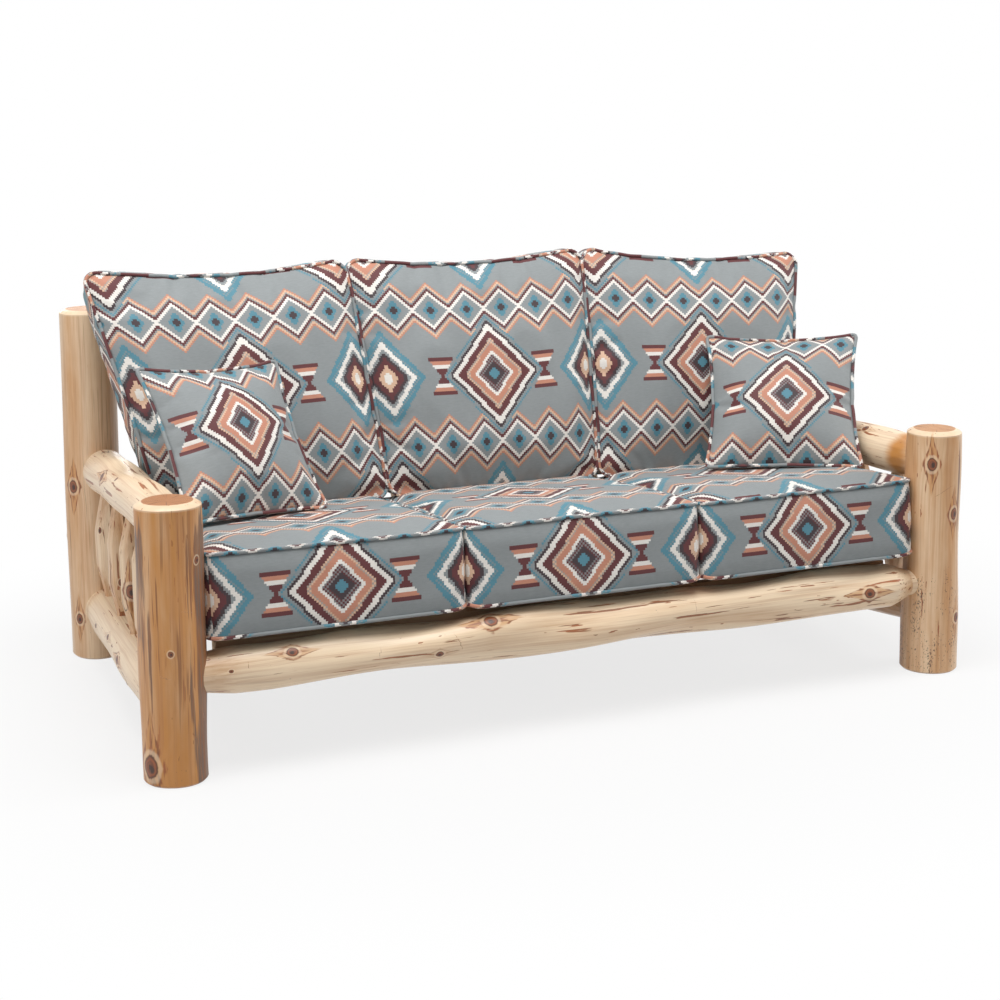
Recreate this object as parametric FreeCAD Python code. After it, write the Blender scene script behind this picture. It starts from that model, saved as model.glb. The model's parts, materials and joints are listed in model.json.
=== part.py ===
import FreeCAD, Part
import math
import os
from collections import namedtuple

# Log sofa: a mortised frame of peeled logs, a slatted seat deck, three seat cushions,
# three back cushions and two throw pillows. Millimetres, +Z up, front towards -Y,
# origin on the floor at the middle of the four posts.

os.makedirs("parts", exist_ok=True)
V = FreeCAD.Vector

# Posts
post_dia = 145.0
front_post_height = 625.0
back_post_height = 925.0
post_spacing_y = 966.0
post_rim_bevel = 17.0
post_rim_drop = 9.0
post_foot_ease = 5.0

# Joinery
fit_gap = 0.2
tenon_end_gap = 2.0
shoulder_gap = 1.0
post_tenon_depth = 78.0
side_tenon_depth = 45.0
spindle_tenon_depth = 32.0

# Arm logs and lower side logs
side_log_inset = 12.0
arm_dia = 105.0
arm_tenon_dia = 58.0
arm_taper = 38.0
arm_swell = 2.0
arm_shoulder_gap = 3.0
arm_front_z = 562.0
right_arm_front_drop = 20.0
arm_back_z = 509.0
lower_dia = 110.0
lower_tenon_dia = 58.0
lower_taper = 36.0
lower_swell = 2.0
lower_z = 136.0

# Spindles under the arms
arm_spindle_count = 5
arm_spindle_pitch = 172.0
arm_spindle_dia = 62.0
arm_spindle_tenon_dia = 34.0
arm_spindle_taper = 88.0
arm_spindle_swell = 5.0

# Front rail, rear seat rail and back top rail
front_rail_dia = 107.0
front_rail_tenon_dia = 60.0
front_rail_taper = 46.0
front_rail_swell = 2.0
front_rail_z = 230.0
rear_rail_dia = 116.0
rear_rail_tenon_dia = 50.0
rear_rail_taper = 50.0
rear_rail_swell = 1.0
rear_rail_y = 215.0
rear_rail_flat_depth = 2.5
top_rail_dia = 100.0
top_rail_tenon_dia = 50.0
top_rail_taper = 44.0
top_rail_swell = 2.0
top_rail_z = 850.0
top_rail_forward = 40.0

# Spindles of the back
back_spindle_dia = 60.0
back_spindle_tenon_dia = 34.0
back_spindle_taper = 90.0
back_spindle_swell = 4.0

# Seat deck
seat_slope = 6.5
seat_front_y = -519.0
seat_front_z = 308.7
slat_count = 10
slat_end_margin = 46.0
slat_width = 89.0
slat_thickness = 20.0
slat_edge_ease = 2.0
slat_rear_bearing = 22.0
ledger_end_margin = 35.0
ledger_thickness = 38.0
ledger_height = 89.0
ledger_flat_offset = 48.0

# Screws, lag screws and plugs
screw_dia = 4.5
screw_head_dia = 9.0
screw_head_height = 3.0
screw_sink = 0.5
slat_screw_length = 45.0
slat_screw_offset = 28.0
ledger_screw_length = 70.0
ledger_screw_count = 7
ledger_screw_margin = 90.0
lag_dia = 10.0
lag_past = 18.0
post_lag_inset = 25.0
log_lag_inset = 30.0
lag_head_across = 17.0
lag_head_height = 7.0
lag_counterbore = 24.0
plug_dia = 25.0
plug_proud = 2.0
plug_ease = 1.5
plug_gap = 1.0

# Seat cushions
rest_gap = 0.4
cover_wall = 4.0
filling_gap = 0.5
seat_width = 600.0
seat_depth = 640.0
seat_thickness = 188.0
seat_gap = 2.0
seat_post_gap = 3.0
seat_crown = 26.0
seat_crown_at_sides = 7.0
seat_draw_in = 6.0
seat_boxing_swell = 7.0

# Back cushions
back_boxing = 130.0
back_rear_crown = 55.0
back_rear_fullness = 0.72
back_front_crown = 50.0
back_crown_at_sides = 12.0
back_height = 624.0
back_top_dip = 22.0
back_top_swell = 12.0
back_foot_narrowing = 22.0
back_foot_gap = 10.0
back_top_widening = 68.0
back_top_gap = 7.0
back_top_shift = -8.0
back_right_corner_drop = 42.0

# Throw pillows
pillow_size = 405.0
pillow_edge = 12.0
pillow_crown = 60.0
pillow_crown_at_sides = 4.0
pillow_draw_in = 15.0
left_pillow_outset = 99.0
left_pillow_yaw = 21.5
left_pillow_lean = 28.5
left_pillow_roll = 1.5
right_pillow_outset = 100.0
right_pillow_yaw = 29.5
right_pillow_lean = 34.0
right_pillow_roll = -1.75
pillow_back_gap = 0.4
pillow_seat_gap = 0.4

# Places worked out from the sizes above
post_r = post_dia / 2
front_y = -post_spacing_y / 2
back_y = post_spacing_y / 2
seat_pitch = seat_width + seat_gap
inner_width = seat_width + 2 * seat_pitch + 2 * seat_post_gap
post_spacing_x = inner_width + post_dia
post_x = post_spacing_x / 2
log_x = post_x - side_log_inset
slat_pitch = (inner_width - slat_width - 2 * slat_end_margin) / (slat_count - 1)
ledger_length = inner_width - 2 * ledger_end_margin
ledger_screw_pitch = (ledger_length - 2 * ledger_screw_margin) / (ledger_screw_count - 1)
back_bottom_width = seat_width - back_foot_narrowing
back_bottom_pitch = back_bottom_width + back_foot_gap
back_top_width = seat_width + back_top_widening
back_top_pitch = back_top_width + back_top_gap
left_pillow_x = -seat_pitch - left_pillow_outset
right_pillow_x = seat_pitch + right_pillow_outset
SIDES = (("left", -1), ("right", 1))
THIRDS = (("left", -1), ("middle", 0), ("right", 1))
X_AXIS = V(1, 0, 0)
Z_AXIS = V(0, 0, 1)

# Turn of a revolved piece about its own axis: its seam then lies clear of every hole.
seam_turn = 45.0

# The seat frame: X across, Y backwards along the slope, Z square to the deck, origin at the
# front edge of the deck's top.
seat_frame = FreeCAD.Placement(V(0, seat_front_y, seat_front_z), FreeCAD.Rotation(X_AXIS, -seat_slope))
seat_up_dir = seat_frame.Rotation.multVec(Z_AXIS)
rear_rail_r = rear_rail_dia / 2
rear_axis_down = slat_thickness + rear_rail_r - rear_rail_flat_depth
rear_axis_back = rear_rail_y - seat_front_y + rear_axis_down * seat_up_dir.y
rear_rail_z = (seat_front_z - rear_axis_down * seat_up_dir.z
               - rear_axis_back * math.tan(math.radians(seat_slope)))
rear_rail_point = V(0, rear_rail_y, rear_rail_z)
top_rail_point = V(0, back_y - top_rail_forward, top_rail_z)

# The back frame: X across, Y backwards, Z up along the back spindles, origin on the rear seat rail.
recline = math.degrees(math.atan2(top_rail_point.y - rear_rail_y, top_rail_z - rear_rail_z))
back_frame = FreeCAD.Placement(rear_rail_point, FreeCAD.Rotation(X_AXIS, -recline))
back_up_dir = back_frame.Rotation.multVec(Z_AXIS)


def export(name, shape):
    """Write one node's STEP file."""
    shape.exportStep("parts/%s.step" % name)


def turned(points, start, direction):
    """Solid of revolution: (radius, height) points, or a middle point marked as an arc, about an axis."""
    edges = []
    previous = None
    arc_through = None
    for radius, height, on_arc in points:
        point = V(radius, 0, height)
        if on_arc:
            arc_through = point
            continue
        if arc_through is not None:
            edges.append(Part.Arc(previous, arc_through, point).toShape())
            arc_through = None
        elif previous is not None:
            edges.append(Part.LineSegment(previous, point).toShape())
        previous = point
    first = V(points[0][0], 0, points[0][1])
    edges.append(Part.LineSegment(previous, first).toShape())
    solid = Part.Face(Part.Wire(edges)).revolve(V(0, 0, 0), Z_AXIS, 360)
    turn = FreeCAD.Rotation(Z_AXIS, direction).multiply(FreeCAD.Rotation(Z_AXIS, seam_turn))
    solid.Placement = FreeCAD.Placement(start, turn)
    return solid


def lathe(outline, start, direction):
    """Solid of revolution of straight runs through (radius, height) points."""
    return turned([(radius, height, False) for radius, height in outline], start, direction)


# A log, rail or spindle: its two ends, body and tenon sizes, and the tenon's length up to the taper.
Stick = namedtuple("Stick", "start end body_dia tenon_dia tenon_length taper swell")


def stick_solid(stick):
    """Peeled log: tenon, pencil taper, slightly swollen body, taper, tenon."""
    axis = stick.end - stick.start
    length = axis.Length
    tenon_r = stick.tenon_dia / 2
    body_r = stick.body_dia / 2
    neck = stick.tenon_length
    shoulder = neck + stick.taper
    outline = [
        (0, 0, False),
        (tenon_r, 0, False),
        (tenon_r, neck, False),
        (body_r, shoulder, False),
        (body_r + stick.swell, length / 2, True),
        (body_r, length - shoulder, False),
        (tenon_r, length - neck, False),
        (tenon_r, length, False),
        (0, length, False),
    ]
    return turned(outline, stick.start, axis)


def mortise(stick, at_end):
    """Round hole for one tenon of a stick, with glue room round it and past its tip."""
    tip, inward = (stick.end, stick.start) if at_end else (stick.start, stick.end)
    direction = (inward - tip).normalize()
    floor = tip - direction * tenon_end_gap
    depth = stick.tenon_length + tenon_end_gap
    return Part.makeCylinder(stick.tenon_dia / 2 + fit_gap, depth, floor, direction)


def bored(solid, tools):
    """A solid with every tool of a list cut from it."""
    return solid.cut(tools)


def post_solid(x, y, height):
    """Upright post: eased foot, bevelled rim."""
    outline = [
        (0, 0),
        (post_r - post_foot_ease, 0),
        (post_r, post_foot_ease),
        (post_r, height - post_rim_drop),
        (post_r - post_rim_bevel, height),
        (0, height),
    ]
    return lathe(outline, V(x, y, 0), Z_AXIS)


def chord(radius, offset):
    """Half length of a chord that passes a circle's centre at an offset."""
    return math.sqrt(radius ** 2 - offset ** 2)


def spanning_stick(a, b, reach, depth, gap, body_dia, tenon_dia, taper, swell):
    """Stick between two uprights with axes through a and b: its tenons go a depth into faces that are
    a reach from those axes, and its shoulders stop a gap short of the faces."""
    direction = (b - a).normalize()
    inset = direction * (reach - depth)
    return Stick(a + inset, b - inset, body_dia, tenon_dia, depth + gap, taper, swell)


def arm_front(side):
    """Height of an arm log's axis at its front post: the right one is let in lower."""
    return arm_front_z - right_arm_front_drop if side > 0 else arm_front_z


def arm_height(side, y):
    """Height of an arm log's axis at a depth y."""
    front_z = arm_front(side)
    return front_z + (arm_back_z - front_z) * (y - front_y) / post_spacing_y


def arm_log(side):
    a = V(side * log_x, front_y, arm_front(side))
    b = V(side * log_x, back_y, arm_back_z)
    return spanning_stick(a, b, chord(post_r, side_log_inset), post_tenon_depth, arm_shoulder_gap,
                          arm_dia, arm_tenon_dia, arm_taper, arm_swell)


def lower_log(side):
    a = V(side * log_x, front_y, lower_z)
    b = V(side * log_x, back_y, lower_z)
    return spanning_stick(a, b, chord(post_r, side_log_inset), post_tenon_depth, shoulder_gap,
                          lower_dia, lower_tenon_dia, lower_taper, lower_swell)


def arm_spindle(side, index):
    """Upright spindle from the lower side log to the arm log."""
    y = (index - (arm_spindle_count - 1) / 2) * arm_spindle_pitch
    low_face = lower_z + lower_dia / 2 + lower_swell
    high_face = arm_height(side, y) - arm_dia / 2 - arm_swell
    return Stick(V(side * log_x, y, low_face - spindle_tenon_depth),
                 V(side * log_x, y, high_face + spindle_tenon_depth),
                 arm_spindle_dia, arm_spindle_tenon_dia, spindle_tenon_depth + shoulder_gap,
                 arm_spindle_taper, arm_spindle_swell)


def back_spindle(x):
    """Leaning spindle from the rear seat rail to the back top rail."""
    low = V(x, rear_rail_point.y, rear_rail_point.z)
    high = V(x, top_rail_point.y, top_rail_point.z)
    low_face = rear_rail_r + rear_rail_swell
    high_face = top_rail_dia / 2 + top_rail_swell
    return Stick(low + back_up_dir * (low_face - spindle_tenon_depth),
                 high - back_up_dir * (high_face - spindle_tenon_depth),
                 back_spindle_dia, back_spindle_tenon_dia, spindle_tenon_depth + shoulder_gap,
                 back_spindle_taper, back_spindle_swell)


def rail(point, half_span, reach, depth, body_dia, tenon_dia, taper, swell):
    """Level rail along X between two uprights at plus and minus a half span."""
    a = V(-half_span, point.y, point.z)
    b = V(half_span, point.y, point.z)
    return spanning_stick(a, b, reach, depth, shoulder_gap, body_dia, tenon_dia, taper, swell)


def in_seat(x, y, z):
    """A point of the seat frame in the sofa's frame."""
    return seat_frame.multVec(V(x, y, z))


def seat_board(width, length, height, corner):
    """Board lying square in the seat frame, from its lowest corner there."""
    board = Part.makeBox(width, length, height, corner)
    board.Placement = seat_frame.multiply(board.Placement)
    return board


def screw(head, direction, length, gap):
    """Countersunk screw from the middle of its head, or its hole when a gap is given."""
    shank_r = screw_dia / 2 + gap
    head_r = screw_head_dia / 2 + gap
    tip = length + gap
    outline = [(0, -gap), (head_r, -gap), (shank_r, screw_head_height), (shank_r, tip), (0, tip)]
    return lathe(outline, head, direction)


def sunk_mouth(head, direction):
    """Round opening over a screw head that lies below its board's face."""
    return Part.makeCylinder(screw_head_dia / 2 + fit_gap, screw_sink, head, direction * -1)


def lag_screw(seat, direction, length):
    """Hex-headed lag screw whose head sits on a point, with its shank along a direction."""
    hex_sides = 6
    corner_r = lag_head_across / math.sqrt(3)
    turns = [2 * math.pi * i / hex_sides for i in range(hex_sides + 1)]
    corners = [V(corner_r * math.cos(turn), corner_r * math.sin(turn), 0) for turn in turns]
    head = Part.Face(Part.makePolygon(corners)).extrude(V(0, 0, -lag_head_height))
    shank = Part.makeCylinder(lag_dia / 2, length)
    lag = head.fuse(shank).removeSplitter()
    lag.Placement = FreeCAD.Placement(seat, FreeCAD.Rotation(Z_AXIS, direction))
    return lag


def ring(points):
    """Closed wire through corners; the point between two corners bends their edge into an arc."""
    edges = []
    for i in range(0, len(points), 2):
        corner, through, following = points[i], points[i + 1], points[(i + 2) % len(points)]
        if through is None:
            edges.append(Part.LineSegment(corner, following).toShape())
        else:
            edges.append(Part.Arc(corner, through, following).toShape())
    return Part.Wire(edges)


# Stations across a cushion from its left side to its right side
STATIONS = (-1.0, -0.8, -0.4, 0.0, 0.4, 0.8, 1.0)


def bulge(station, middle, at_sides):
    """Crown at a station: full in the middle, low at the sides."""
    return at_sides + (middle - at_sides) * (1 - station ** 2)


def seat_form(inset):
    """Boxed seat cushion in the seat frame about x = 0, or its filling when drawn in by an inset."""
    rings = []
    for station in STATIONS:
        x = station * (seat_width / 2 - inset)
        pull = seat_draw_in * (1 - station ** 2) + seat_boxing_swell + inset
        front = pull
        rear = seat_depth - pull
        low = rest_gap + inset
        high = rest_gap + seat_thickness - inset
        crown = bulge(station, seat_crown, seat_crown_at_sides)
        middle = (low + high) / 2
        rings.append(ring([
            V(x, front, low), None,
            V(x, rear, low), V(x, rear + seat_boxing_swell, middle),
            V(x, rear, high), V(x, seat_depth / 2, high + crown),
            V(x, front, high), V(x, front - seat_boxing_swell, middle),
        ]))
    return Part.makeLoft(rings, True, False)


def seat_top(x_from_middle, y):
    """Height of a seat cushion's top in the seat frame."""
    station = max(-1.0, min(1.0, x_from_middle / (seat_width / 2)))
    sag = bulge(station, seat_crown, seat_crown_at_sides)
    half = seat_depth / 2 - seat_boxing_swell - seat_draw_in * (1 - station ** 2)
    arc_r = (half ** 2 + sag ** 2) / (2 * sag)
    reach = max(-half, min(half, y - seat_depth / 2))
    return rest_gap + seat_thickness + chord(arc_r, reach) - (arc_r - sag)


# Back cushions, in the back frame: their rear crown is fullest where it leans on the back top
# rail, and their front edge stands on the seat cushions.
rail_height = (top_rail_point - rear_rail_point).Length
back_rear_y = -(top_rail_dia / 2 + top_rail_swell + rest_gap + back_rear_crown)
back_front_y = back_rear_y - back_boxing
lean_over_seat = math.radians(recline - seat_slope)


def back_foot():
    """Height in the back frame at which the front lower edge meets the seat cushions."""
    to_seat = seat_frame.inverse().multiply(back_frame)
    settling_count = 12
    height = 0.0
    for _ in range(settling_count):
        point = to_seat.multVec(V(0, back_front_y, height))
        height += seat_top(0, point.y) + rest_gap - point.z
    return height


back_low = back_foot()


def back_form(third, inset):
    """Boxed back cushion in the back frame: it widens upwards, and its top corners stand up."""
    corner_drop = back_right_corner_drop if third > 0 else 0.0
    rear_low = back_low + back_boxing * math.tan(lean_over_seat)
    top = back_low + back_height
    rings = []
    for station in STATIONS:
        low_x = third * back_bottom_pitch + station * (back_bottom_width / 2 - inset)
        high_x = third * back_top_pitch + back_top_shift + station * (back_top_width / 2 - inset)
        high = top - back_top_dip * (1 - station ** 2) - corner_drop * (1 + station) / 2 - inset

        def at(y, z):
            share = (z - back_low) / back_height
            return V(low_x + (high_x - low_x) * share, y, z)

        front = back_front_y + inset
        rear = back_rear_y - inset
        front_crown = bulge(station, back_front_crown, back_crown_at_sides)
        rear_crown = bulge(station, back_rear_crown, back_crown_at_sides)
        shoulder = rear + rear_crown * back_rear_fullness
        rings.append(ring([
            at(front, back_low + inset), None,
            at(rear, rear_low + inset), at(shoulder, (rear_low + rail_height) / 2),
            at(rear + rear_crown, rail_height), at(shoulder, (rail_height + high) / 2),
            at(rear, high), at((front + rear) / 2, high + back_top_swell),
            at(front, high), at(front - front_crown, (back_low + high) / 2),
        ]))
    return Part.makeLoft(rings, True, False)


def pillow_form(inset):
    """Knife-edge pillow on its straight lower edge: lens-shaped rings, thin at the sides, full between."""
    edge = pillow_edge / 2 - inset
    rings = []
    for station in STATIONS:
        x = station * (pillow_size / 2 - inset)
        low = inset
        high = pillow_size - pillow_draw_in * (1 - station ** 2) - inset
        middle = (low + high) / 2
        face = edge + bulge(station, pillow_crown, pillow_crown_at_sides)
        rings.append(ring([
            V(x, -edge, low), None,
            V(x, edge, low), V(x, face, middle),
            V(x, edge, high), None,
            V(x, -edge, high), V(x, -face, middle),
        ]))
    return Part.makeLoft(rings, True, False)


def pillow_place(side, x, yaw, roll, lean):
    """Pillow turned and leant in the seat frame, moved back to the back cushions and down to the seat."""
    turned_in = FreeCAD.Rotation(Z_AXIS, -side * yaw)
    rolled = FreeCAD.Rotation(V(0, 1, 0), -side * roll)
    leant = FreeCAD.Rotation(X_AXIS, -lean)
    place = FreeCAD.Placement(V(x, 0, 0), turned_in.multiply(rolled).multiply(leant))
    mesh_step = 1.0
    points = [place.multVec(point) for point in pillow_form(0).tessellate(mesh_step)[0]]
    seat_to_back = back_frame.inverse().multiply(seat_frame)
    nearest = max(seat_to_back.multVec(point).y for point in points)
    limit = back_front_y - back_front_crown - pillow_back_gap
    lift = seat_thickness + seat_crown
    drift = seat_to_back.Rotation.multVec(Z_AXIS).y * lift
    back_shift = (limit - nearest - drift) / math.cos(lean_over_seat)
    middle_x = side * seat_pitch
    clear = min(point.z - seat_top(point.x - middle_x, max(point.y + back_shift, seat_depth / 2))
                for point in points if abs(point.x - middle_x) < seat_width / 2)
    place.Base = place.Base + V(0, back_shift, pillow_seat_gap - clear)
    return place


# Sticks of the frame
arm_logs = {name: arm_log(side) for name, side in SIDES}
lower_logs = {name: lower_log(side) for name, side in SIDES}
arm_spindles = {name: [arm_spindle(side, i) for i in range(arm_spindle_count)] for name, side in SIDES}
front_rail = rail(V(0, front_y, front_rail_z), post_x, post_r, post_tenon_depth,
                  front_rail_dia, front_rail_tenon_dia, front_rail_taper, front_rail_swell)
top_rail = rail(top_rail_point, post_x, post_r, post_tenon_depth,
                top_rail_dia, top_rail_tenon_dia, top_rail_taper, top_rail_swell)
lower_reach = chord(lower_dia / 2 + lower_swell, rear_rail_z - lower_z)
rear_rail = rail(rear_rail_point, log_x, lower_reach, side_tenon_depth,
                 rear_rail_dia, rear_rail_tenon_dia, rear_rail_taper, rear_rail_swell)
slat_xs = [(i - (slat_count - 1) / 2) * slat_pitch for i in range(slat_count)]
back_spindles = [back_spindle((a + b) / 2) for a, b in zip(slat_xs, slat_xs[1:])]

# Lag screws that lock the rails' tenons, driven across them from behind the posts and from below the
# lower logs, each under a wooden plug: the log it goes into, where it crosses the tenon's axis, the way
# it is driven and how far the log's face is from that axis.
LagPlace = namedtuple("LagPlace", "host crossing drive reach")
post_reach = chord(post_r, post_lag_inset)
top_reach = post_reach + top_rail_forward
log_reach = chord(lower_dia / 2, log_lag_inset) + rear_rail_z - lower_z
forwards = V(0, -1, 0)
lag_places = []
for name, side in SIDES:
    post_lag_x = side * (post_x - post_lag_inset)
    log_lag_x = side * (log_x - log_lag_inset)
    lag_places += [
        LagPlace("front_post", V(post_lag_x, front_y, front_rail_z), forwards, post_reach),
        LagPlace("back_post", V(post_lag_x, top_rail_point.y, top_rail_z), forwards, top_reach),
        LagPlace("lower_log", V(log_lag_x, rear_rail_y, rear_rail_z), Z_AXIS, log_reach),
    ]
lags = []
plugs = []
lag_holes = {"front_post": [], "back_post": [], "lower_log": []}
lag_pilots = {"front_post": [], "back_post": [], "lower_log": []}
for place in lag_places:
    head_seat = place.crossing - place.drive * (place.reach - lag_counterbore)
    lag_length = place.reach - lag_counterbore + lag_past
    lags.append(lag_screw(head_seat, place.drive, lag_length))
    bore_r = plug_dia / 2 + fit_gap
    pilot_r = lag_dia / 2 + fit_gap
    bore_mouth = -lag_counterbore - plug_dia
    pilot_end = lag_length + tenon_end_gap
    hole_outline = [(0, bore_mouth), (bore_r, bore_mouth), (bore_r, 0),
                    (pilot_r, 0), (pilot_r, pilot_end), (0, pilot_end)]
    lag_holes[place.host].append(lathe(hole_outline, head_seat, place.drive))
    lag_pilots[place.host].append(Part.makeCylinder(pilot_r, pilot_end, head_seat, place.drive))
    plug_length = lag_counterbore - lag_head_height - plug_gap + plug_proud
    plug_r = plug_dia / 2
    plug_outline = [(0, 0), (plug_r, 0), (plug_r, plug_length - plug_ease),
                    (plug_r - plug_ease, plug_length), (0, plug_length)]
    plug_foot = head_seat - place.drive * (lag_head_height + plug_gap)
    plugs.append(lathe(plug_outline, plug_foot, place.drive * -1))
export("rail_lag_screws", Part.makeCompound(lags))
export("lag_plugs", Part.makeCompound(plugs))

# Posts and side logs
for index, (name, side) in enumerate(SIDES):
    side_sticks = (arm_logs[name], lower_logs[name])
    front_tools = [mortise(stick, False) for stick in side_sticks]
    front_tools += [mortise(front_rail, side > 0), lag_holes["front_post"][index]]
    export("front_post_" + name, bored(post_solid(side * post_x, front_y, front_post_height), front_tools))
    back_tools = [mortise(stick, True) for stick in side_sticks]
    back_tools += [mortise(top_rail, side > 0), lag_holes["back_post"][index]]
    export("back_post_" + name, bored(post_solid(side * post_x, back_y, back_post_height), back_tools))
    spindles = arm_spindles[name]
    export("arm_log_" + name, bored(stick_solid(arm_logs[name]), [mortise(s, True) for s in spindles]))
    lower_tools = [mortise(s, False) for s in spindles]
    lower_tools += [mortise(rear_rail, side > 0), lag_holes["lower_log"][index]]
    export("lower_log_" + name, bored(stick_solid(lower_logs[name]), lower_tools))
    for number, spindle in enumerate(spindles, 1):
        export("arm_spindle_%s_%d" % (name, number), stick_solid(spindle))

# Seat deck: slats on a ledger behind the front rail and on a flat along the rear seat rail
front_axis = seat_frame.inverse().multVec(V(0, front_y, front_rail_z))
rear_axis = seat_frame.inverse().multVec(rear_rail_point)
ledger_face = front_axis.y + ledger_flat_offset
slat_end = rear_axis.y - chord(rear_rail_r, rear_rail_r - rear_rail_flat_depth) + slat_rear_bearing
slat_length = slat_end - ledger_face
screw_rows = (ledger_face + ledger_thickness / 2, slat_end - slat_rear_bearing / 2)
slat_screws = []
slat_screw_holes = []
down = seat_frame.Rotation.multVec(V(0, 0, -1))
for number, slat_x in enumerate(slat_xs, 1):
    slat = seat_board(slat_width, slat_length, slat_thickness,
                      V(slat_x - slat_width / 2, ledger_face, -slat_thickness))
    long_edges = [e for e in slat.Edges if abs(e.Length - slat_length) < fit_gap]
    slat = slat.makeFillet(slat_edge_ease, long_edges)
    heads = [in_seat(slat_x + dx, y, -screw_sink)
             for y in screw_rows for dx in (-slat_screw_offset, slat_screw_offset)]
    holes = [screw(head, down, slat_screw_length, fit_gap) for head in heads]
    openings = [sunk_mouth(head, down) for head in heads]
    slat_screws += [screw(head, down, slat_screw_length, 0) for head in heads]
    slat_screw_holes += holes
    export("seat_slat_%d" % number, bored(slat, holes + openings))

ledger_screws = []
ledger_screw_holes = []
forward = seat_frame.Rotation.multVec(V(0, -1, 0))
for i in range(ledger_screw_count):
    x = (i - (ledger_screw_count - 1) / 2) * ledger_screw_pitch
    head = in_seat(x, ledger_face + ledger_thickness - screw_sink, front_axis.z)
    ledger_screws.append(screw(head, forward, ledger_screw_length, 0))
    ledger_screw_holes.append(screw(head, forward, ledger_screw_length, fit_gap))
    ledger_screw_holes.append(sunk_mouth(head, forward))
export("deck_screws", Part.makeCompound(slat_screws + ledger_screws))
ledger = seat_board(ledger_length, ledger_thickness, ledger_height,
                    V(-ledger_length / 2, ledger_face, -slat_thickness - ledger_height))
export("seat_ledger", bored(ledger, ledger_screw_holes + slat_screw_holes))

# Rails
ledger_flat = seat_board(post_spacing_x, front_rail_dia, 2 * front_rail_dia,
                         V(-post_x, ledger_face, front_axis.z - front_rail_dia))
front_tools = [ledger_flat] + ledger_screw_holes + lag_pilots["front_post"]
export("front_rail", bored(stick_solid(front_rail), front_tools))
deck_flat = seat_board(post_spacing_x, 2 * rear_rail_dia, rear_rail_dia,
                       V(-post_x, rear_axis.y - rear_rail_dia, -slat_thickness))
rear_tools = [deck_flat] + slat_screw_holes + lag_pilots["lower_log"]
rear_tools += [mortise(s, False) for s in back_spindles]
export("rear_seat_rail", bored(stick_solid(rear_rail), rear_tools))
top_tools = lag_pilots["back_post"] + [mortise(s, True) for s in back_spindles]
export("back_top_rail", bored(stick_solid(top_rail), top_tools))
for number, spindle in enumerate(back_spindles, 1):
    export("back_spindle_%d" % number, stick_solid(spindle))

# Loose cushions and pillows: a sewn cover with its filling inside
def export_soft(name, shape, place):
    """Put a soft form in its place and write its STEP file."""
    shape.Placement = place.multiply(shape.Placement)
    export(name, shape)


filling_inset = cover_wall + filling_gap
for name, third in THIRDS:
    across = FreeCAD.Placement(V(third * seat_pitch, 0, 0), FreeCAD.Rotation())
    seat_place = seat_frame.multiply(across)
    export_soft("seat_cover_" + name, seat_form(0).cut(seat_form(cover_wall)), seat_place)
    export_soft("seat_foam_" + name, seat_form(filling_inset), seat_place)
    export_soft("back_cover_" + name, back_form(third, 0).cut(back_form(third, cover_wall)), back_frame)
    export_soft("back_fill_" + name, back_form(third, filling_inset), back_frame)

left_stand = (left_pillow_x, left_pillow_yaw, left_pillow_roll, left_pillow_lean)
right_stand = (right_pillow_x, right_pillow_yaw, right_pillow_roll, right_pillow_lean)
for (name, side), stand in zip(SIDES, (left_stand, right_stand)):
    place = seat_frame.multiply(pillow_place(side, *stand))
    export_soft("pillow_cover_" + name, pillow_form(0).cut(pillow_form(cover_wall)), place)
    export_soft("pillow_fill_" + name, pillow_form(filling_inset), place)
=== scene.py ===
import json
import math
from collections import namedtuple

import bpy
import numpy as np
from mathutils import Matrix, Vector


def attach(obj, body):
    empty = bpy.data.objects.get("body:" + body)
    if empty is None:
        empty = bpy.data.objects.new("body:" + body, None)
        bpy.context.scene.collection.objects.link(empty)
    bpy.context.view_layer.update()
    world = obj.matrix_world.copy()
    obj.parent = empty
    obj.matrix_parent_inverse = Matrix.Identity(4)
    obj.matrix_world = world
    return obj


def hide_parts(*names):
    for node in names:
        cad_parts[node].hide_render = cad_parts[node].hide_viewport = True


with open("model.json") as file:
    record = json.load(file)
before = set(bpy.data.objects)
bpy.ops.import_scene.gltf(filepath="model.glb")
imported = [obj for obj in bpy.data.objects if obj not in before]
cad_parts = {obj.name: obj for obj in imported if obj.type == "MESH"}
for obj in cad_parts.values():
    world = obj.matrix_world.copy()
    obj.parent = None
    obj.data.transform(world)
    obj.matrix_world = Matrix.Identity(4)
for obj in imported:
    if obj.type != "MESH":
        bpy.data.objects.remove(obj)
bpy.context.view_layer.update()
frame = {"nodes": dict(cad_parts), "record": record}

bl_info = {
    "name": "Log sofa",
    "version": (1, 0, 0),
    "blender": (4, 5, 0),
    "location": "3D View > Sidebar > Log Sofa",
    "description": "Dresses the sofa's frame with peeled logs, woven cushions and a studio stage",
    "category": "Object",
}

SIDES = ("left", "right")
THIRDS = ("left", "middle", "right")
JOINTS = {joint["name"]: joint for joint in frame["record"]["behaviour"]["joints"]}


def unit(v):
    """A vector, or rows of vectors, over its length."""
    v = np.asarray(v, float)
    return v / np.linalg.norm(v, axis=-1, keepdims=True)


def level_axes(along, across=(1.0, 0.0, 0.0)):
    """Rows across, along and their cross product: the axes of a frame that only leans."""
    across = unit(across)
    along = unit(along)
    return np.stack([across, along, np.cross(across, along)])


SEAT_AXES = level_axes(-np.array(JOINTS["seat_cushion_middle_slide"]["axis"]))
BACK_UP = unit(JOINTS["back_cushion_middle_lift"]["axis"])
BACK_AXES = level_axes(np.cross(BACK_UP, (1.0, 0.0, 0.0)))


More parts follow.
